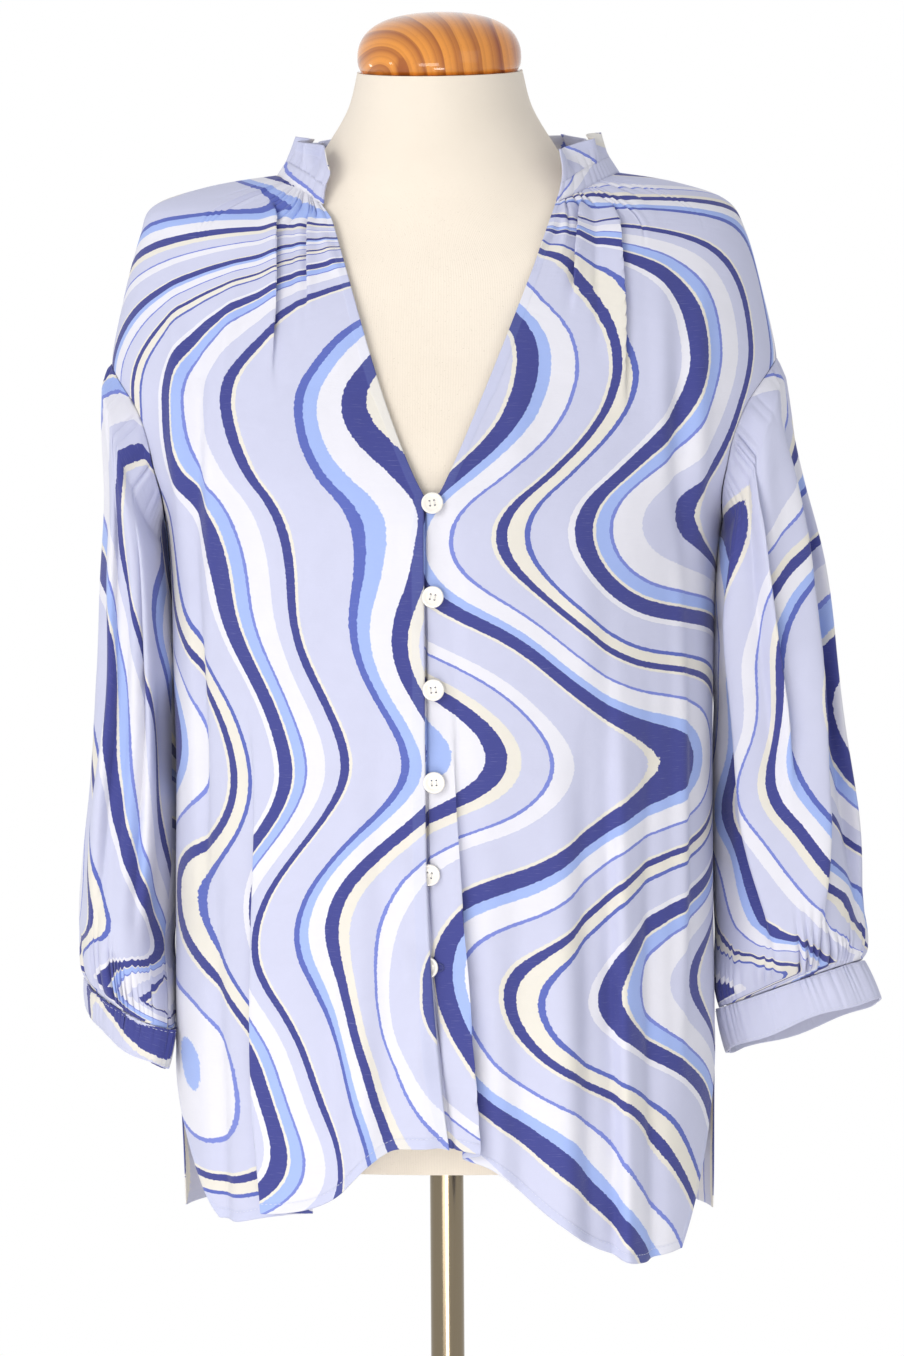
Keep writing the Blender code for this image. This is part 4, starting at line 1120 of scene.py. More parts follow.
    def build(self) -> bpy.types.Object:
        across = spread(self.columns, *FINE_COLUMNS[self.kind])
        grid = ClothGrid(self.name, across, self.levels(), self.shape, self.rise, self.rim, start=self.start)
        made, size, area = grid.build()
        settle(made, self.cloth.make(), "print_cloth", PANEL_NODE[self.kind])
        LOG.info("%s: flat %.3f by %.3f m, %.4f m2", made.name, *size, area)
        return made

    def hem_stitches(self) -> tuple[Array, Array, Array]:
        """Places, directions and outward normals of the stitches along the hem."""
        share = np.linspace(0.012, 0.985, 900)
        angle = self.angle(share, np.zeros_like(share))
        level = (HEM_FOLD - 0.0009) / (HEM_SPAN * (SLIT_RING - hem_ring(angle)))
        points = self.shape(share, level)
        ahead = unit(np.gradient(points, axis=0))
        above = self.shape(share, level + 0.01) - points
        out = unit(np.cross(ahead, above))
        out *= np.sign((out[:, :2] * points[:, :2]).sum(axis=1))[:, None]
        picks = stitch_picks(points, 0.003)
        return points[picks], ahead[picks], out[picks]


# ------------------------------------------------------------------ sleeves and cuffs
# Rows of a sleeve: outermost x and z, innermost x and z, half depth, how far forward it hangs,
# how much its front is lifted and how far its inner end turns to the front.
LEFT_SLEEVE = (
    (0.2280, 1.2030, 0.1875, 1.0930, 0.0640, 0.000, 0.000, 0.000),
    (0.2325, 1.1780, 0.1855, 1.0720, 0.0690, -0.002, 0.000, 0.000),
    (0.2405, 1.1300, 0.1834, 1.0350, 0.0720, -0.012, 0.000, 0.000),
    (0.2510, 1.0700, 0.1810, 0.9900, 0.0730, -0.022, 0.000, 0.000),
    (0.2610, 1.0000, 0.1796, 0.9400, 0.0740, -0.028, 0.000, 0.000),
    (0.2710, 0.9250, 0.1792, 0.8850, 0.0730, -0.028, 0.000, 0.000),
    (0.2785, 0.8620, 0.1812, 0.8300, 0.0680, -0.024, 0.000, 0.000),
    (0.2815, 0.8360, 0.1830, 0.8060, 0.0540, -0.014, 0.002, 0.000),
    (0.2800, 0.8210, 0.1850, 0.7900, 0.0370, -0.008, 0.004, 0.000),
    (0.2785, 0.8140, 0.1870, 0.7820, 0.0280, -0.006, 0.005, 0.000),
)
LEFT_CUFF = (
    (0.2785, 0.8131, 0.1870, 0.7811, 0.0280, -0.006, 0.005, 0.000),
    (0.2900, 0.7870, 0.1930, 0.7530, 0.0270, -0.004, 0.007, 0.000),
)
RIGHT_SLEEVE = (
    (0.2255, 1.2030, 0.1875, 1.0930, 0.0640, 0.000, 0.000, 0.000),
    (0.2250, 1.1780, 0.1855, 1.0720, 0.0690, -0.002, 0.000, 0.000),
    (0.2225, 1.1300, 0.1834, 1.0350, 0.0730, -0.010, 0.000, 0.000),
    (0.2270, 1.0700, 0.1814, 0.9900, 0.0750, -0.018, 0.000, 0.000),
    (0.2315, 1.0000, 0.1808, 0.9450, 0.0770, -0.022, 0.000, 0.000),
    (0.2415, 0.9250, 0.1808, 0.8850, 0.0770, -0.022, 0.000, 0.004),
    (0.2485, 0.8600, 0.1840, 0.8300, 0.0730, -0.014, 0.000, 0.012),
    (0.2485, 0.8280, 0.1840, 0.8000, 0.0610, -0.004, 0.000, 0.020),
    (0.2470, 0.8110, 0.1830, 0.7830, 0.0480, 0.004, 0.000, 0.026),
    (0.2460, 0.8020, 0.1820, 0.7740, 0.0400, 0.008, 0.000, 0.030),
)
RIGHT_CUFF = (
    (0.2460, 0.8011, 0.1820, 0.7731, 0.0400, 0.008, 0.000, 0.030),
    (0.2450, 0.7820, 0.1870, 0.7490, 0.0390, 0.012, 0.000, 0.032),
)
SLEEVE_COLUMNS = 48  # of the solids
CUFF_LAP = 4  # of those columns by which a cuff's end laps its start
SLIT_ROWS = 3
SLIT_SPREAD = 0.0030


@dataclass(frozen=True)
class SleeveFold:
    """A long fold of a sleeve, in degrees round it: 0 is outermost and 90 the front.

    start and stop are shares of the sleeve's length, and overlap is in metres towards a larger
    angle.
    """

    top_angle: float
    foot_angle: float
    start: float
    stop: float
    width: float
    depth: float
    overlap: float = 0.0

    def push(self, phase: Array, down: Array) -> tuple[Array, Array]:
        """Outward and round displacement at each place.

        Args:
            phase: Angles round the sleeve, in radians.
            down: Shares of its length.

        Returns:
            Outward and round displacement, in metres.
        """
        along = (down - self.start) / (self.stop - self.start)
        middle = np.radians(self.top_angle + (self.foot_angle - self.top_angle) * along)
        off = (phase - middle + math.pi) % TAU - math.pi
        off = off / math.radians(self.width)
        fade = smooth(along / 0.3) * smooth((1.0 - along) / 0.3)
        return fold_push(off, fade, self.depth, self.overlap)


LEFT_FOLDS = (
    SleeveFold(136, 105, 0.03, 0.96, 11, 0.0080, 0.0110),
    SleeveFold(112, 90, 0.00, 0.75, 8, -0.0060),
    SleeveFold(94, 76, 0.02, 0.70, 8, 0.0055, -0.0050),
    SleeveFold(44, 66, 0.03, 0.97, 11, 0.0085, -0.0115),
    SleeveFold(26, 40, 0.00, 0.90, 8, -0.0060),
    SleeveFold(14, 22, 0.10, 0.98, 9, 0.0060, 0.0060),
    SleeveFold(150, 140, 0.20, 0.92, 9, -0.0050),
    SleeveFold(-8, -4, 0.20, 1.00, 8, -0.0050),
    SleeveFold(-24, -26, 0.05, 0.95, 11, 0.0075, 0.0090),
    SleeveFold(-52, -46, 0.02, 0.90, 9, -0.0064),
    SleeveFold(-84, -78, 0.08, 0.98, 11, 0.0078, -0.0090),
    SleeveFold(-116, -110, 0.05, 0.85, 9, -0.0055),
)
RIGHT_FOLDS = (
    SleeveFold(112, 120, 0.03, 0.92, 13, 0.0050, -0.0050),
    SleeveFold(84, 92, 0.12, 0.90, 9, -0.0075),
    SleeveFold(60, 70, 0.02, 0.97, 14, 0.0050, 0.0045),
    SleeveFold(40, 34, 0.25, 0.90, 10, -0.0036),
    SleeveFold(22, 16, 0.02, 0.70, 11, 0.0040),
    SleeveFold(136, 144, 0.15, 0.95, 9, -0.0052),
    SleeveFold(2, -2, 0.20, 1.00, 8, -0.0052),
    SleeveFold(-28, -32, 0.02, 0.95, 11, 0.0072, -0.0085),
    SleeveFold(-60, -56, 0.05, 0.90, 9, -0.0062),
    SleeveFold(-92, -88, 0.02, 0.98, 11, 0.0075, 0.0090),
    SleeveFold(-122, -118, 0.10, 0.85, 9, -0.0052),
)


@dataclass
class Sleeve:
    """A balloon sleeve with its cuff, hung from the dropped armhole."""

    word: str
    side: int
    rows: tuple[tuple[float, ...], ...]
    cuff_rows: tuple[tuple[float, ...], ...]
    folds: tuple[SleeveFold, ...]
    slit_column: int
    cloth: PrintCloth
    cuff_cloth: PrintCloth
    seed: float
    columns: int = 286
    head_gathers: float = 32.0
    cuff_gathers: float = 44.0

    def _ring(
        self, rows: tuple[tuple[float, ...], ...], position: Array, phase: Array,
    ) -> tuple[Array, Array]:
        """Points and outward normals of a sleeve ring at fractional positions."""
        ox, oz, ix, iz, depth, forward, lift, turn = np.moveaxis(RingTable(rows).at(position), -1, 0)
        across, ahead = np.cos(phase), np.sin(phase)
        half = np.hypot(ox - ix, oz - iz) / 2
        x = (ox + ix) / 2 + (ox - ix) / 2 * across
        z = (oz + iz) / 2 + (oz - iz) / 2 * across + lift * ahead
        y = -depth * ahead - forward + turn * across
        normal = unit(np.stack((across * depth, -ahead * half, np.zeros_like(half)), axis=-1))
        points = np.stack((x * self.side, y, z), axis=-1)
        normal[..., 0] *= self.side
        return points, normal

    def _armhole(self, phase: Array) -> Array:
        """The seam line of the armhole, where the sleeve starts."""
        half = (phase % TAU) / TAU
        share = 1.0 - np.abs(2.0 * half - 1.0)  # 0 at the top, 1 under the arm
        position = ARMHOLE_MIDDLE + ARMHOLE_REACH * np.cos(math.pi * share)
        angle = armhole_angle(position) * np.where(half < 0.5, 1.0, -1.0)
        points = BODY.point(position, angle if self.side > 0 else math.pi - angle)
        points[..., 0] += self.side * (0.0004 + 0.0010 * np.maximum(0.0, -np.cos(phase)))
        points[..., 2] -= 0.0003
        return points

    def _phase(self, share: Array) -> Array:
        """Angle round the sleeve of a column; the slit is where the columns start and end."""
        return TAU * (share + self.slit_column / SLEEVE_COLUMNS)

    def _lengths(self) -> tuple[Array, Array]:
        """Row positions 0 to 10 and the length of sleeve above each, at its front."""
        position = np.arange(0, len(self.rows) + 1, dtype=float)
        front, _ = self._ring(self.rows, np.maximum(position - 1, 0), np.full_like(position, math.pi / 2))
        front[0] = self._armhole(np.array([math.pi / 2]))[0]
        steps = np.linalg.norm(np.diff(front, axis=0), axis=1)
        return position, np.concatenate(((0.0,), np.cumsum(steps)))

    def shape(self, share: Array, down: Array) -> Array:
        """Points of the sleeve; down runs from 0 at the armhole to 1 at the cuff."""
        positions, lengths = self._lengths()
        position = np.interp(down * lengths[-1], lengths, positions)
        phase = self._phase(share)
        slit_start = len(self.rows) - SLIT_ROWS
        apart = SLIT_SPREAD / 2 * np.maximum(0.0, position - slit_start) / SLIT_ROWS
        edge = np.exp(-share * 90.0) - np.exp(-(1.0 - share) * 90.0)
        radius = RingTable(self.rows).at(np.maximum(position - 1, 0))[..., 4]
        phase = phase + edge * apart / radius
        points, normal = self._ring(self.rows, np.maximum(position - 1.0, 0.0), phase)
        seam = self._armhole(phase)
        near = np.clip(1.0 - position, 0.0, 1.0)[..., None]
        points = points * (1.0 - near) + seam * near
        outward, round_ = self._relief(phase, down)
        outward = outward + self._snug(points[..., 2], phase)
        aside = np.stack((-normal[..., 1], normal[..., 0], np.zeros_like(outward)), axis=-1) * self.side
        points = points + normal * outward[..., None] - aside * round_[..., None]
        # The puffs between the gathers sag a little over the cuff.
        puffs = self._round_gathers((phase / TAU) % 1.0, self.cuff_gathers, self.seed + 0.4)
        points[..., 2] -= 0.0028 * puffs * smooth((down - 0.84) / 0.08) * smooth((0.985 - down) / 0.03)
        return points

    @staticmethod
    def _snug(height: Array, phase: Array) -> Array:
        """How far the inner side swells towards the body under the arm and at the wrist."""
        under_arm = 0.0032 * smooth((height - 0.98) / 0.04) * smooth((1.112 - height) / 0.02)
        wrist = 0.0034 * smooth((0.835 - height) / 0.04)
        return (under_arm + wrist) * smooth((-np.cos(phase) - 0.35) / 0.5)

    def _relief(self, phase: Array, down: Array) -> tuple[Array, Array]:
        """Outward and round displacement from gathers and folds."""
        outward, round_ = np.zeros_like(phase), np.zeros_like(phase)
        for fold in self.folds:
            out, slide = fold.push(phase, down)
            outward += out
            round_ += slide
        # The side next to the body lies calm against it.
        calm = 0.15 + 0.85 * smooth((1.05 + np.cos(phase)) / 0.8)
        round_share = (phase / TAU) % 1.0
        head_reach = 0.13 + 0.08 * np.sin(TAU * (3.0 * round_share + self.seed))
        head = smooth((down + 0.004) / 0.02) * (1.0 - smooth((down - 0.03) / head_reach))
        cuff_reach = 0.11 + 0.05 * np.sin(TAU * (4.0 * round_share + 2.0 * self.seed))
        tail = smooth((down - 1.0 + cuff_reach + 0.03) / cuff_reach) * (1.0 - smooth((down - 0.975) / 0.025))
        outward += 0.0017 * head * self._round_gathers(round_share, self.head_gathers, self.seed)
        outward += 0.0034 * tail * self._round_gathers(round_share, self.cuff_gathers, self.seed + 0.4)
        billow = np.sin(TAU * (2.6 * down + 0.3 * np.sin(TAU * round_share) + self.seed))
        inner = 0.0014 * smooth(down / 0.2) * smooth((0.95 - down) / 0.2)
        outward += inner * billow * np.cos(3 * phase + self.seed)
        ends = smooth(down / 0.03) * smooth((0.99 - down) / 0.04)
        return calm * outward, calm * round_ * ends

    @staticmethod
    def _round_gathers(along: Array, count: float, seed: float) -> Array:
        """Gathers that close up round a tube."""
        warped = round(count) * along + 1.1 * np.sin(TAU * (3 * along + seed))
        warped = warped + 0.45 * np.sin(TAU * (11 * along + seed))
        ridge = 2.0 * np.abs(np.sin(math.pi * warped)) ** 0.8 - 1.25
        uneven = np.sin(TAU * (7 * along + 2.9 * seed)) * np.cos(TAU * (11 * along + seed))
        return ridge * (0.60 + 0.40 * uneven) + 0.25 * np.sin(TAU * (13 * along + 4.1 * seed))

    def rise(self, _share: Array, down: Array) -> Array:
        """Flat length along the sleeve, from the armhole down."""
        return -down * self._lengths()[1][-1]

    def _full_start(self, up: Array) -> Array:
        """The flat sleeve's edge, whose rows are centred on one line."""
        share, level = np.meshgrid(np.linspace(0, 1, self.columns), up)
        steps = np.linalg.norm(np.diff(self.shape(share, level), axis=1), axis=2)
        return -0.5 * steps.sum(axis=1)

    def build(self) -> list[bpy.types.Object]:
        _, lengths = self._lengths()
        slit_share = lengths[len(self.rows) - SLIT_ROWS] / lengths[-1]
        rows = np.concatenate((np.linspace(0, 0.06, 14, endpoint=False), np.linspace(0.06, 1.0, 130)))
        grid = ClothGrid(
            f"{self.word}_sleeve", np.linspace(0, 1, self.columns), rows, self.shape, self.rise,
            no_rim, closed_below=slit_share, start=self._full_start,
        )
        sleeve, size, area = grid.build()
        settle(sleeve, self.cloth.make(), "print_cloth", f"sleeve_{self.word}")
        LOG.info("%s: flat %.3f by %.3f m, %.4f m2", sleeve.name, *size, area)
        return [sleeve, self._cuff()]

    def _cuff_shape(self, share: Array, down: Array) -> Array:
        """Points of the cuff; down runs from the sleeve's seam to its lower edge."""
        columns = SLEEVE_COLUMNS + CUFF_LAP
        column = share * columns
        phase = TAU * (column + self.slit_column - CUFF_LAP / 2) / SLEEVE_COLUMNS
        points, normal = self._ring(self.cuff_rows, down, phase)
        raised = 0.0024 * smooth((column - SLEEVE_COLUMNS + 3) / 3)
        pucker = self._round_gathers((phase / TAU) % 1.0, self.cuff_gathers, self.seed + 0.4)
        slow = np.sin(3 * phase + 5 * self.seed) + 0.6 * np.sin(7 * phase + self.seed)
        swell = 0.0013 * pucker * (1.0 - 0.70 * smooth(down / 0.9)) + 0.0007 * slow
        roll = 0.0009 * np.sin(math.pi * np.clip(down, 0, 1))
        outward = raised + swell + roll + self._snug(points[..., 2], phase)
        points = points + normal * outward[..., None]
        points[..., 2] += 0.0011 * np.sin(5 * phase + 3 * self.seed) * down
        return points

    def _cuff(self) -> bpy.types.Object:
        edges, _ = self._ring(self.cuff_rows, np.array([0.0, 1.0]), np.full(2, math.pi / 2))
        height = float(np.linalg.norm(np.diff(edges, axis=0)))
        grid = ClothGrid(
            f"{self.word}_cuff", np.linspace(0, 1, 261), np.linspace(0, 1, 15), self._cuff_shape,
            lambda _share, down: -down * height, no_rim, BAND_CLOTH,
        )
        cuff, size, area = grid.build()
        rounding = cuff.modifiers.new("edge", "BEVEL")
        rounding.width, rounding.segments, rounding.limit_method = 0.0006, 2, "ANGLE"
        rounding.angle_limit = math.radians(60)
        settle(cuff, self.cuff_cloth.make(), "print_cloth", f"cuff_{self.word}")
        return cuff

    def cuff_stitches(self, level: float) -> tuple[Array, Array, Array]:
        """Places, directions and outward normals of stitches round the cuff."""
        share = np.linspace(0.03, 0.985, 500)
        points = self._cuff_shape(share, np.full_like(share, level))
        ahead = unit(np.gradient(points, axis=0))
        middle = points.mean(axis=0)
        out = unit(points - middle)
        out = unit(out - (out * ahead).sum(axis=1)[:, None] * ahead)
        out[:, 2] *= 0.2
        out = unit(out)
        picks = stitch_picks(points, 0.002)
        return points[picks] + out[picks] * (BAND_CLOTH / 2 - CLOTH / 2), ahead[picks], out[picks]


# ------------------------------------------------------------------ collar
@dataclass
class Collar:
    """A low stand with a gathered frill, from one side of the V round the back to the other."""

    band_cloth: PrintCloth
    frill_cloth: PrintCloth
    frill_waves: float = 16.0

    @staticmethod
    def angle(share: Array) -> Array:
        """The angle round the body, from the left front's edge round the back to the right's."""
        start = front_edge_angle(np.array([NECK_RING]), 1)[0]
        return start - (2 * start + math.pi) * share

    def place(self, share: Array, height: Array) -> Array:
        """A point of the collar's middle surface, a height share from the neck seam to its top."""
        angle = self.angle(share)
        base = BODY.point(np.full_like(angle, NECK_RING), angle)
        ahead = smooth(np.sin(angle) / 0.75)
        rise = 0.0245 + 0.0055 * ahead
        lean = 0.004 + 0.012 * np.cos(angle) ** 2 - 0.006 * smooth(np.sin(angle))
        inward = -base.copy()
        inward[..., 2] = 0.0
        point = base + unit(inward) * (lean * height)[..., None]
        point[..., 2] += rise * height
        first, last = np.exp(-((share / 0.03) ** 2)), np.exp(-(((1.0 - share) / 0.03) ** 2))
        point[..., 0] += 0.0045 * first * np.sin(math.pi * np.clip(height, 0, 1))
        point[..., 0] -= 0.0050 * last * (1.0 - 0.85 * smooth((height - 0.25) / 0.6))
        return point

    def outward(self, share: Array) -> Array:
        """Horizontal directions straight out of the collar."""
        angle = self.angle(share)
        return np.stack((np.cos(angle), -np.sin(angle), np.zeros_like(angle)), axis=-1)

    def band(self, share: Array, up: Array) -> Array:
        """Points of the stand, drawn in by the gathers that meet it."""
        height = -0.02 + (BAND_SHARE + 0.02) * up
        small = 0.0005 * gathers(share, 60, 0.7) + 0.0004 * np.sin(TAU * 9 * share)
        return self.place(share, height) + self.outward(share) * small[..., None]

    def frill(self, share: Array, up: Array) -> Array:
        """Points of the frill, waving more towards its free edge."""
        height = BAND_SHARE - 0.02 + (1.02 - BAND_SHARE) * up
        phase = self.frill_waves * share + 0.35 * np.sin(TAU * (5.3 * share + 0.2))
        wave = np.sin(TAU * phase) + 0.22 * np.sin(TAU * (1.7 * phase + 0.3))
        fine = gathers(share, 70, 0.2) * (1.0 - smooth((up - 0.1) / 0.7))
        first, last = np.exp(-((share / 0.022) ** 2)), np.exp(-(((1.0 - share) / 0.022) ** 2))
        swell = 0.0044 * up**0.9 * wave + 0.0007 * fine + 0.0052 * (first + last) * up**1.5
        # A pressed fold runs up from the seam near each end.
        folded = np.exp(-(((share - 0.030 - 0.016 * up) / 0.008) ** 2))
        folded += np.exp(-(((0.968 - 0.020 * up - share) / 0.009) ** 2))
        swell -= 0.0028 * folded * smooth(up / 0.5)
        point = self.place(share, height) + self.outward(share) * swell[..., None]
        point[..., 2] += 0.0016 * up * np.cos(TAU * phase * 0.37 + 1.0) + 0.0036 * first * up
        # The corner over the wearer's right shoulder is rounded.
        corner = smooth((share - 0.985) / 0.015)
        point[..., 2] -= 0.0085 * corner**1.5 * up - 0.0012 * last * up
        return point

    def _piece(
        self, name: str, node: str, shape: Callable[[Array, Array], Array], rows: int, height: float,
        thickness: float, cloth: PrintCloth,
    ) -> bpy.types.Object:
        """Makes and dresses one ring of the collar, in place of its solid."""
        rim = (lambda _share, up, _u, _v: (1.0 - up) * height) if node == "collar_frill" else no_rim
        grid = ClothGrid(
            name, np.linspace(0, 1, 640), np.linspace(0, 1, rows), shape, lambda _share, up: up * height,
            rim, thickness,
        )
        made, size, area = grid.build()
        settle(made, cloth.make(), "print_cloth", node)
        LOG.info("%s: flat %.3f by %.3f m", made.name, *size)
        return made

    def build(self) -> None:
        """Makes the stand and the frill."""
        self._piece("neck_stand", "collar_band", self.band, 7, 0.011, BAND_CLOTH, self.band_cloth)
        self._piece("neck_frill", "collar_frill", self.frill, 20, 0.017, CLOTH, self.frill_cloth)


# ------------------------------------------------------------------ closure
@dataclass
class Closure:
    """Six four-hole buttons sewn on with white thread, and their loops."""

    hole_radius: float = 0.00062
    hole_offset: float = 0.00150
    rim_height: float = 0.0021
    dish_height: float = 0.0014
    shank_radius: float = 0.0013

    @staticmethod
    def frame_at(height: float) -> Matrix:
        """A matrix on the closing edge: its Z axis points straight out of the cloth."""
        low, high = 0.0, NECK_RING
        for _ in range(40):
            middle = (low + high) / 2
            below = BODY.point(np.array(middle), np.array(math.pi / 2))[2] < height
            low, high = (middle, high) if below else (low, middle)
        x = float(closing_x(np.array(height))) + BUTTON_OFFSET
        rings = (np.array(low), np.array(low + 0.05))
        ends = [BODY.point(ring, BODY.angle_of_x(ring, np.array(x))) for ring in rings]
        up = Vector(ends[1] - ends[0]).normalized()
        across = Vector((1, 0, 0))
        matrix = Matrix((across, up, across.cross(up).normalized())).transposed().to_4x4()
        matrix.translation = Vector(ends[0])
        return matrix

    def button(self) -> bmesh.types.BMesh:
        """A button with a rolled rim, a dished face and four holes, on a short thread shank."""
        lift = SOLID_CLOTH / 2 + 3 * GAP
        seat = -UNDERLAP_DROP + SOLID_CLOTH / 2 + GAP
        radius, rim, dish = BUTTON_RADIUS, lift + self.rim_height, lift + self.dish_height
        profile = [(0.0, lift), (radius - 0.0012, lift)]
        for step in range(9):  # the rolled rim
            turn = math.radians(-70 + 160 * step / 8)
            outer, top = radius - 0.0009 + 0.0009 * math.cos(turn), rim - 0.0011 + 0.0011 * math.sin(turn)
            profile.append((outer, top))
        profile += [(radius - 0.0018, rim - 0.0002), (radius - 0.0026, dish + 0.0001)]
        profile += [(radius - 0.0032, dish), (0.0, dish)]
        made = finished("button_blank", turned(profile, 48))
        drills = bmesh.new()
        for x, y in ((1, 1), (-1, 1), (-1, -1), (1, -1)):
            place = Matrix.Translation((x * self.hole_offset, y * self.hole_offset, lift + 0.0010))
            bmesh.ops.create_cone(
                drills, cap_ends=True, segments=16, radius1=self.hole_radius, radius2=self.hole_radius,
                depth=0.006, matrix=place,
            )
        drill = finished("button_drill", drills)
        cutter = made.modifiers.new("holes", "BOOLEAN")
        cutter.object, cutter.operation, cutter.solver = drill, "DIFFERENCE", "EXACT"
        bpy.context.view_layer.update()
        evaluated = made.evaluated_get(bpy.context.evaluated_depsgraph_get())
        pierced = bmesh.new()
        pierced.from_mesh(evaluated.to_mesh())
        for spare in (made, drill):
            bpy.data.objects.remove(spare, do_unlink=True)
        shank = Matrix.Translation((0, 0, (seat + lift) / 2))
        bmesh.ops.create_cone(
            pierced, cap_ends=True, segments=16, radius1=self.shank_radius, radius2=self.shank_radius,
            depth=lift - seat, matrix=shank,
        )
        return pierced

    def thread(self) -> bmesh.types.BMesh:
        """Two bars of thread that pass from hole to hole."""
        lift = SOLID_CLOTH / 2 + 3 * GAP + self.dish_height
        bars = bmesh.new()
        for x in (-1, 1):
            for strand in (-0.00020, 0.00020):
                ring = bmesh.ops.create_uvsphere(bars, u_segments=10, v_segments=8, radius=1.0)["verts"]
                bmesh.ops.scale(bars, vec=(0.00026, self.hole_offset + 0.0001, 0.00022), verts=ring)
                place = (x * self.hole_offset + strand, 0.0, lift + 0.0001)
                bmesh.ops.translate(bars, vec=place, verts=ring)
        return bars

    def build(self) -> None:
        """Makes, places and dresses every button with its thread, and dresses the loops."""
        shell, thread = ShellButton().make(), SpunThread("button_thread", (0.93, 0.91, 0.88)).make()
        cord = SpunThread("loop_cord_navy", (0.060, 0.070, 0.250), 0.0006).make()
        blank, bars = self.button(), self.thread()
        for number in range(1, BUTTON_COUNT + 1):
            slipped = (-TUCKED[number], TUCK_SINK, 0.0) if number in TUCKED else (0.0, 0.0, 0.0)
            place = Matrix.Translation(slipped) @ self.frame_at(button_height(number))
            spin = Matrix.Rotation(math.radians(11 * math.sin(2.3 * number)), 4, "Z")
            button = blank.copy()
            bmesh.ops.transform(button, matrix=place @ spin, verts=button.verts)
            settle(finished(f"shell_button_{number}", button, 35), shell, "shell_button", f"button_{number}")
            sewn = bars.copy()
            bmesh.ops.transform(sewn, matrix=place @ spin, verts=sewn.verts)
            settle(finished(f"button_thread_{number}", sewn), thread, "shell_button")
            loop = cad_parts[f"loop_{number}"]
            loop.data.materials.clear()
            loop.data.materials.append(cord)
        blank.free()
        bars.free()


@dataclass
class Stitching:
    """Rows of short stitches along the hems and cuffs."""

    length: float = 0.0021
    radius: float = 0.00022

    def build(
        self, name: str, rows: Sequence[tuple[Array, Array, Array]], thread: bpy.types.Material,
    ) -> None:
        """Makes one piece that holds every stitch.

        Args:
            name: The piece's name.
            rows: Places, directions and outward normals of each row's stitches.
            thread: Their material.
        """
        sewn = bmesh.new()
        for points, ahead, out in rows:
            for point, along, away in zip(points, ahead, out):
                along, away = Vector(along), Vector(away)
                aside = along.cross(away).normalized()
                matrix = Matrix((along, aside, away)).transposed().to_4x4()
                matrix.translation = Vector(point) + away * (CLOTH / 2 + 0.0001)
                size = Matrix.Diagonal((self.length / 2, self.radius, self.radius, 1.0))
                bmesh.ops.create_icosphere(sewn, subdivisions=1, radius=1.0, matrix=matrix @ size)
        settle(finished(name, sewn, 80), thread, "print_cloth")


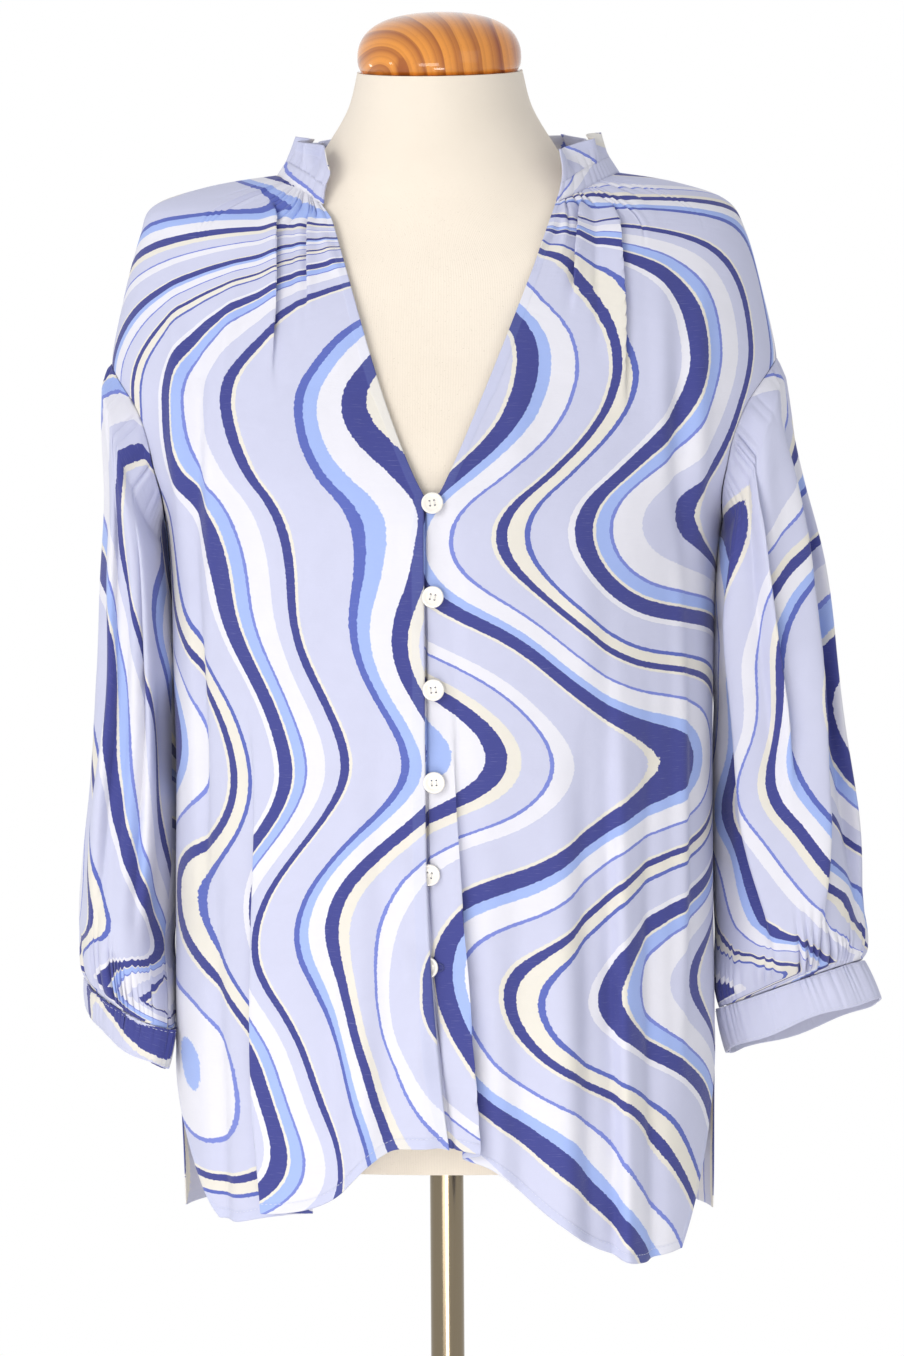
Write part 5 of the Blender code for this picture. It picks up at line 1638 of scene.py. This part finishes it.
# ------------------------------------------------------------------ dress form and stand
@dataclass
class DressForm:
    """The padded torso with its knitted cover, the wooden neck cap, the pole and the base."""

    columns: int = 160
    rows: int = 150

    def torso(self) -> bpy.types.Object:
        """The torso: a tube from a grid, with its ends closed."""
        grid = bmesh.new()
        bmesh.ops.create_grid(grid, x_segments=self.columns, y_segments=self.rows, size=0.5)
        places = np.array([vert.co[:2] for vert in grid.verts]) + 0.5
        position = places[:, 1] * (len(FORM.rows) - 1)
        angle = places[:, 0] * TAU
        points = FORM.point(position, angle)
        points[:, 2] += points[:, 1] * math.tan(NECK_SLANT) * smooth((position - 15) / 4)
        flat_v = FORM.length((np.zeros_like(angle), angle), (position, angle))
        cut = grid.loops.layers.uv.new("cut")
        grid.verts.ensure_lookup_table()
        for face in grid.faces:
            for corner in face.loops:
                index = corner.vert.index
                corner[cut].uv = (places[index, 0] * 0.86, flat_v[index])
        for vert, point in zip(grid.verts, points):
            vert.co = point
        bmesh.ops.remove_doubles(grid, verts=grid.verts, dist=1e-6)
        rims = [edge for edge in grid.edges if edge.is_boundary]
        bmesh.ops.holes_fill(grid, edges=rims, sides=0)
        return settle(finished("torso_cover", grid), FormCover().make(), "form_cover", "form_torso")

    def cap(self) -> bpy.types.Object:
        """The turned dome that closes the neck."""
        profile = (
            (0.0, 0.0), (0.0500, 0.0), (0.0520, 0.0004), (0.0537, 0.0030), (0.0544, 0.0062), (0.0545, 0.0095),
            (0.0542, 0.0135), (0.0532, 0.0175), (0.0510, 0.0222), (0.0478, 0.0262), (0.0428, 0.0302),
            (0.0365, 0.0334), (0.0290, 0.0358), (0.0200, 0.0375), (0.0100, 0.0385), (0.0, 0.0388),
        )
        cap = turned(rounded(profile, 3), 96)
        forward = -0.0045  # the neck's middle
        seat = Vector((0, forward, NECK_TOP + forward * math.tan(NECK_SLANT) + GAP))
        matrix = Matrix.Translation(seat) @ Matrix.Rotation(NECK_SLANT, 4, "X")
        bmesh.ops.transform(cap, matrix=matrix, verts=cap.verts)
        return settle(finished("turned_cap", cap), VarnishedWood().make(), "varnished_wood", "neck_cap")

    def stand(self) -> None:
        """The pole and the base plate."""
        low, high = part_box("pole")
        radius = (high.x - low.x) / 2
        ends = ((0.0, low.z), (radius - 0.0006, low.z), (radius, low.z + 0.0006), (radius, high.z - 0.0006),
                (radius - 0.0006, high.z), (0.0, high.z))
        pole = SatinSteel("pole_steel", (900, 900, 14)).make()
        settle(finished("steel_pole", turned(ends, 64), 30), pole, "brushed_steel", "pole")
        low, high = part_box("base")
        radius, boss = (high.x - low.x) / 2, high.z
        plate = boss - 0.010
        base = (
            (0.0, 0.0), (radius - 0.001, 0.0), (radius, 0.001), (radius, plate - 0.0025),
            (radius - 0.0008, plate - 0.0008), (radius - 0.0025, plate), (0.0250, plate),
            (0.0215, plate + 0.0008), (0.0200, plate + 0.0030),
            (0.0195, boss - 0.0010), (0.0185, boss), (0.0, boss),
        )
        steel = SatinSteel("base_steel", (60, 60, 900)).make()
        settle(finished("base_plate", turned(base, 96), 30), steel, "brushed_steel", "base")

    def build(self) -> None:
        """Makes the whole form."""
        self.torso()
        self.cap()
        self.stand()


# ------------------------------------------------------------------ studio
@dataclass(frozen=True)
class Lamp:
    """A rectangular light that faces the blouse and lights gloss, matt surfaces or both."""

    name: str
    place: tuple[float, float, float]
    size: tuple[float, float]
    power: float
    colour: tuple[float, float, float] = (1.0, 1.0, 1.0)
    glossy: bool = True
    diffuse: bool = True

    def hang(self, aim: Vector) -> None:
        """Puts the light in the scene, turned to the point it aims at."""
        lamp = bpy.data.lights.new(self.name, "AREA")
        lamp.shape, lamp.size, lamp.size_y = "RECTANGLE", *self.size
        lamp.energy, lamp.color = self.power, self.colour
        made = bpy.data.objects.new(self.name, lamp)
        made.location, made.visible_glossy, made.visible_diffuse = self.place, self.glossy, self.diffuse
        made.rotation_euler = (aim - Vector(self.place)).to_track_quat("-Z", "Y").to_euler()
        bpy.context.scene.collection.objects.link(made)


WARM = (1.0, 0.96, 0.90)
LAMPS = (
    Lamp("key", (-1.8, -2.3, 1.9), (1.6, 1.6), 32.0, (1.0, 0.985, 0.96), glossy=False),
    Lamp("fill", (2.2, -2.2, 1.5), (1.6, 1.6), 5.0, (1.0, 0.98, 0.95)),
    # low lamps for the hem and the form's foot, and one that only draws the pole's streak
    Lamp("low", (-0.60, -2.8, 0.36), (1.5, 0.6), 17.0, WARM),
    Lamp("under", (0.0, -1.1, 0.10), (0.8, 0.2), 2.8, WARM, glossy=False),
    Lamp("streak", (0.06, -1.2, 0.42), (0.35, 0.3), 4.9, WARM, diffuse=False),
    Lamp("back", (0.6, 2.4, 2.2), (1.6, 1.6), 14.0, glossy=False),
    # small ones whose glints lie on the wooden cap
    Lamp("glint_side", (-1.136, 0.438, 1.265), (0.11, 0.11), 0.4),
    Lamp("glint_front", (-1.144, -0.452, 1.215), (0.11, 0.11), 0.4),
)


@dataclass
class Studio:
    """The pale floor, the lights and the camera at the photograph's angle."""

    target: tuple[float, float, float] = (0.0056, 0.0, 1.004)
    azimuth: float = 3.0
    elevation: float = 2.0
    roll: float = -0.35
    distance: float = 2.6
    half_height: float = 0.454  # of the view at the target
    lamp_aim: tuple[float, float, float] = (0, 0, 1.02)

    def floor(self) -> None:
        """A large pale floor, which isn't part of the object."""
        plane = bmesh.new()
        bmesh.ops.create_grid(plane, x_segments=1, y_segments=1, size=1.4)
        made = finished("studio_floor", plane)
        made.data.materials.append(PaleFloor().make())

    def lights(self) -> None:
        """Soft light all round and the lamps; the camera and glossy surfaces see a white backdrop."""
        world = bpy.data.worlds.new("studio")
        bpy.context.scene.world = world
        world.use_nodes = True
        nodes, links = world.node_tree.nodes, world.node_tree.links
        nodes.clear()
        ray = nodes.new("ShaderNodeLightPath")
        ambient, backdrop = nodes.new("ShaderNodeBackground"), nodes.new("ShaderNodeBackground")
        ambient.inputs["Color"].default_value = (0.96, 0.97, 1.0, 1.0)
        ambient.inputs["Strength"].default_value = 0.695
        backdrop.inputs["Color"].default_value = (1.0, 1.0, 1.0, 1.0)
        mix, output = nodes.new("ShaderNodeMixShader"), nodes.new("ShaderNodeOutputWorld")
        bright = nodes.new("ShaderNodeMath")
        bright.operation = "MAXIMUM"
        links.new(ray.outputs["Is Camera Ray"], bright.inputs[0])
        links.new(ray.outputs["Is Glossy Ray"], bright.inputs[1])
        links.new(bright.outputs[0], mix.inputs[0])
        links.new(ambient.outputs[0], mix.inputs[1])
        links.new(backdrop.outputs[0], mix.inputs[2])
        links.new(mix.outputs[0], output.inputs["Surface"])
        for lamp in LAMPS:
            lamp.hang(Vector(self.lamp_aim))

    def camera(self) -> None:
        """The camera."""
        turn, tilt = math.radians(self.azimuth), math.radians(self.elevation)
        back = Vector((math.sin(turn) * math.cos(tilt), -math.cos(turn) * math.cos(tilt), math.sin(tilt)))
        lens = bpy.data.cameras.new("studio_camera")
        lens.sensor_width = 36.0
        lens.lens = 18.0 / (self.half_height / self.distance)
        made = bpy.data.objects.new("studio_camera", lens)
        aim = (-back).to_track_quat("-Z", "Y").to_matrix() @ Matrix.Rotation(math.radians(self.roll), 3, "Z")
        made.matrix_world = Matrix.Translation(Vector(self.target) + back * self.distance) @ aim.to_4x4()
        bpy.context.scene.collection.objects.link(made)
        bpy.context.scene.camera = made

    def build(self) -> None:
        """Makes the studio."""
        self.floor()
        self.lights()
        self.camera()
        bpy.context.scene.view_settings.view_transform = "Standard"


@dataclass
class Blouse:
    """The whole garment: panels, sleeves, collar, closure and stitching."""

    def build(self) -> None:
        """Makes every piece in order."""
        fronts_back = (
            Panel("right_front", PanelKind.RIGHT_FRONT, FRONT_RIGHT_CREASES,
                  PrintCloth("print_right_front", (0.10, 0.35)), seed=0.31),
            Panel("left_front", PanelKind.LEFT_FRONT, FRONT_LEFT_CREASES,
                  PrintCloth("print_left_front", (3.36, 2.02), math.radians(180)), seed=0.83),
            Panel("back_panel", PanelKind.BACK, BACK_CREASES,
                  PrintCloth("print_back", (2.30, 0.20)), 164, 0.57, 26.0),
        )
        sleeves = (
            Sleeve("left", 1, LEFT_SLEEVE, LEFT_CUFF, LEFT_FOLDS, 27,
                   PrintCloth("print_left_sleeve", (0.30, 1.45)),
                   PrintCloth("print_left_cuff", (2.229, 1.812), QUARTER), 0.17),
            Sleeve("right", -1, RIGHT_SLEEVE, RIGHT_CUFF, RIGHT_FOLDS, 21,
                   PrintCloth("print_right_sleeve", (5.2, 0.6)),
                   PrintCloth("print_right_cuff", (0.93, 0.62), QUARTER), 0.71),
        )
        for panel in fronts_back:
            panel.build()
        for sleeve in sleeves:
            sleeve.build()
        Collar(PrintCloth("print_collar", (0.724, 2.518), QUARTER),
               PrintCloth("print_frill", (2.728, 0.318), QUARTER)).build()
        Closure().build()
        thread = SpunThread("hem_thread", (0.78, 0.80, 0.92)).make()
        rows = [panel.hem_stitches() for panel in fronts_back]
        rows += [sleeve.cuff_stitches(level) for sleeve in sleeves for level in (0.10, 0.90)]
        Stitching().build("hem_stitches", rows, thread)


def main() -> None:
    """Builds the object and its studio."""
    logging.basicConfig(level=logging.INFO, format="%(name)s: %(message)s")
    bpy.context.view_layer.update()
    DressForm().build()
    Blouse().build()
    Studio().build()


if __name__ == "__main__":
    main()
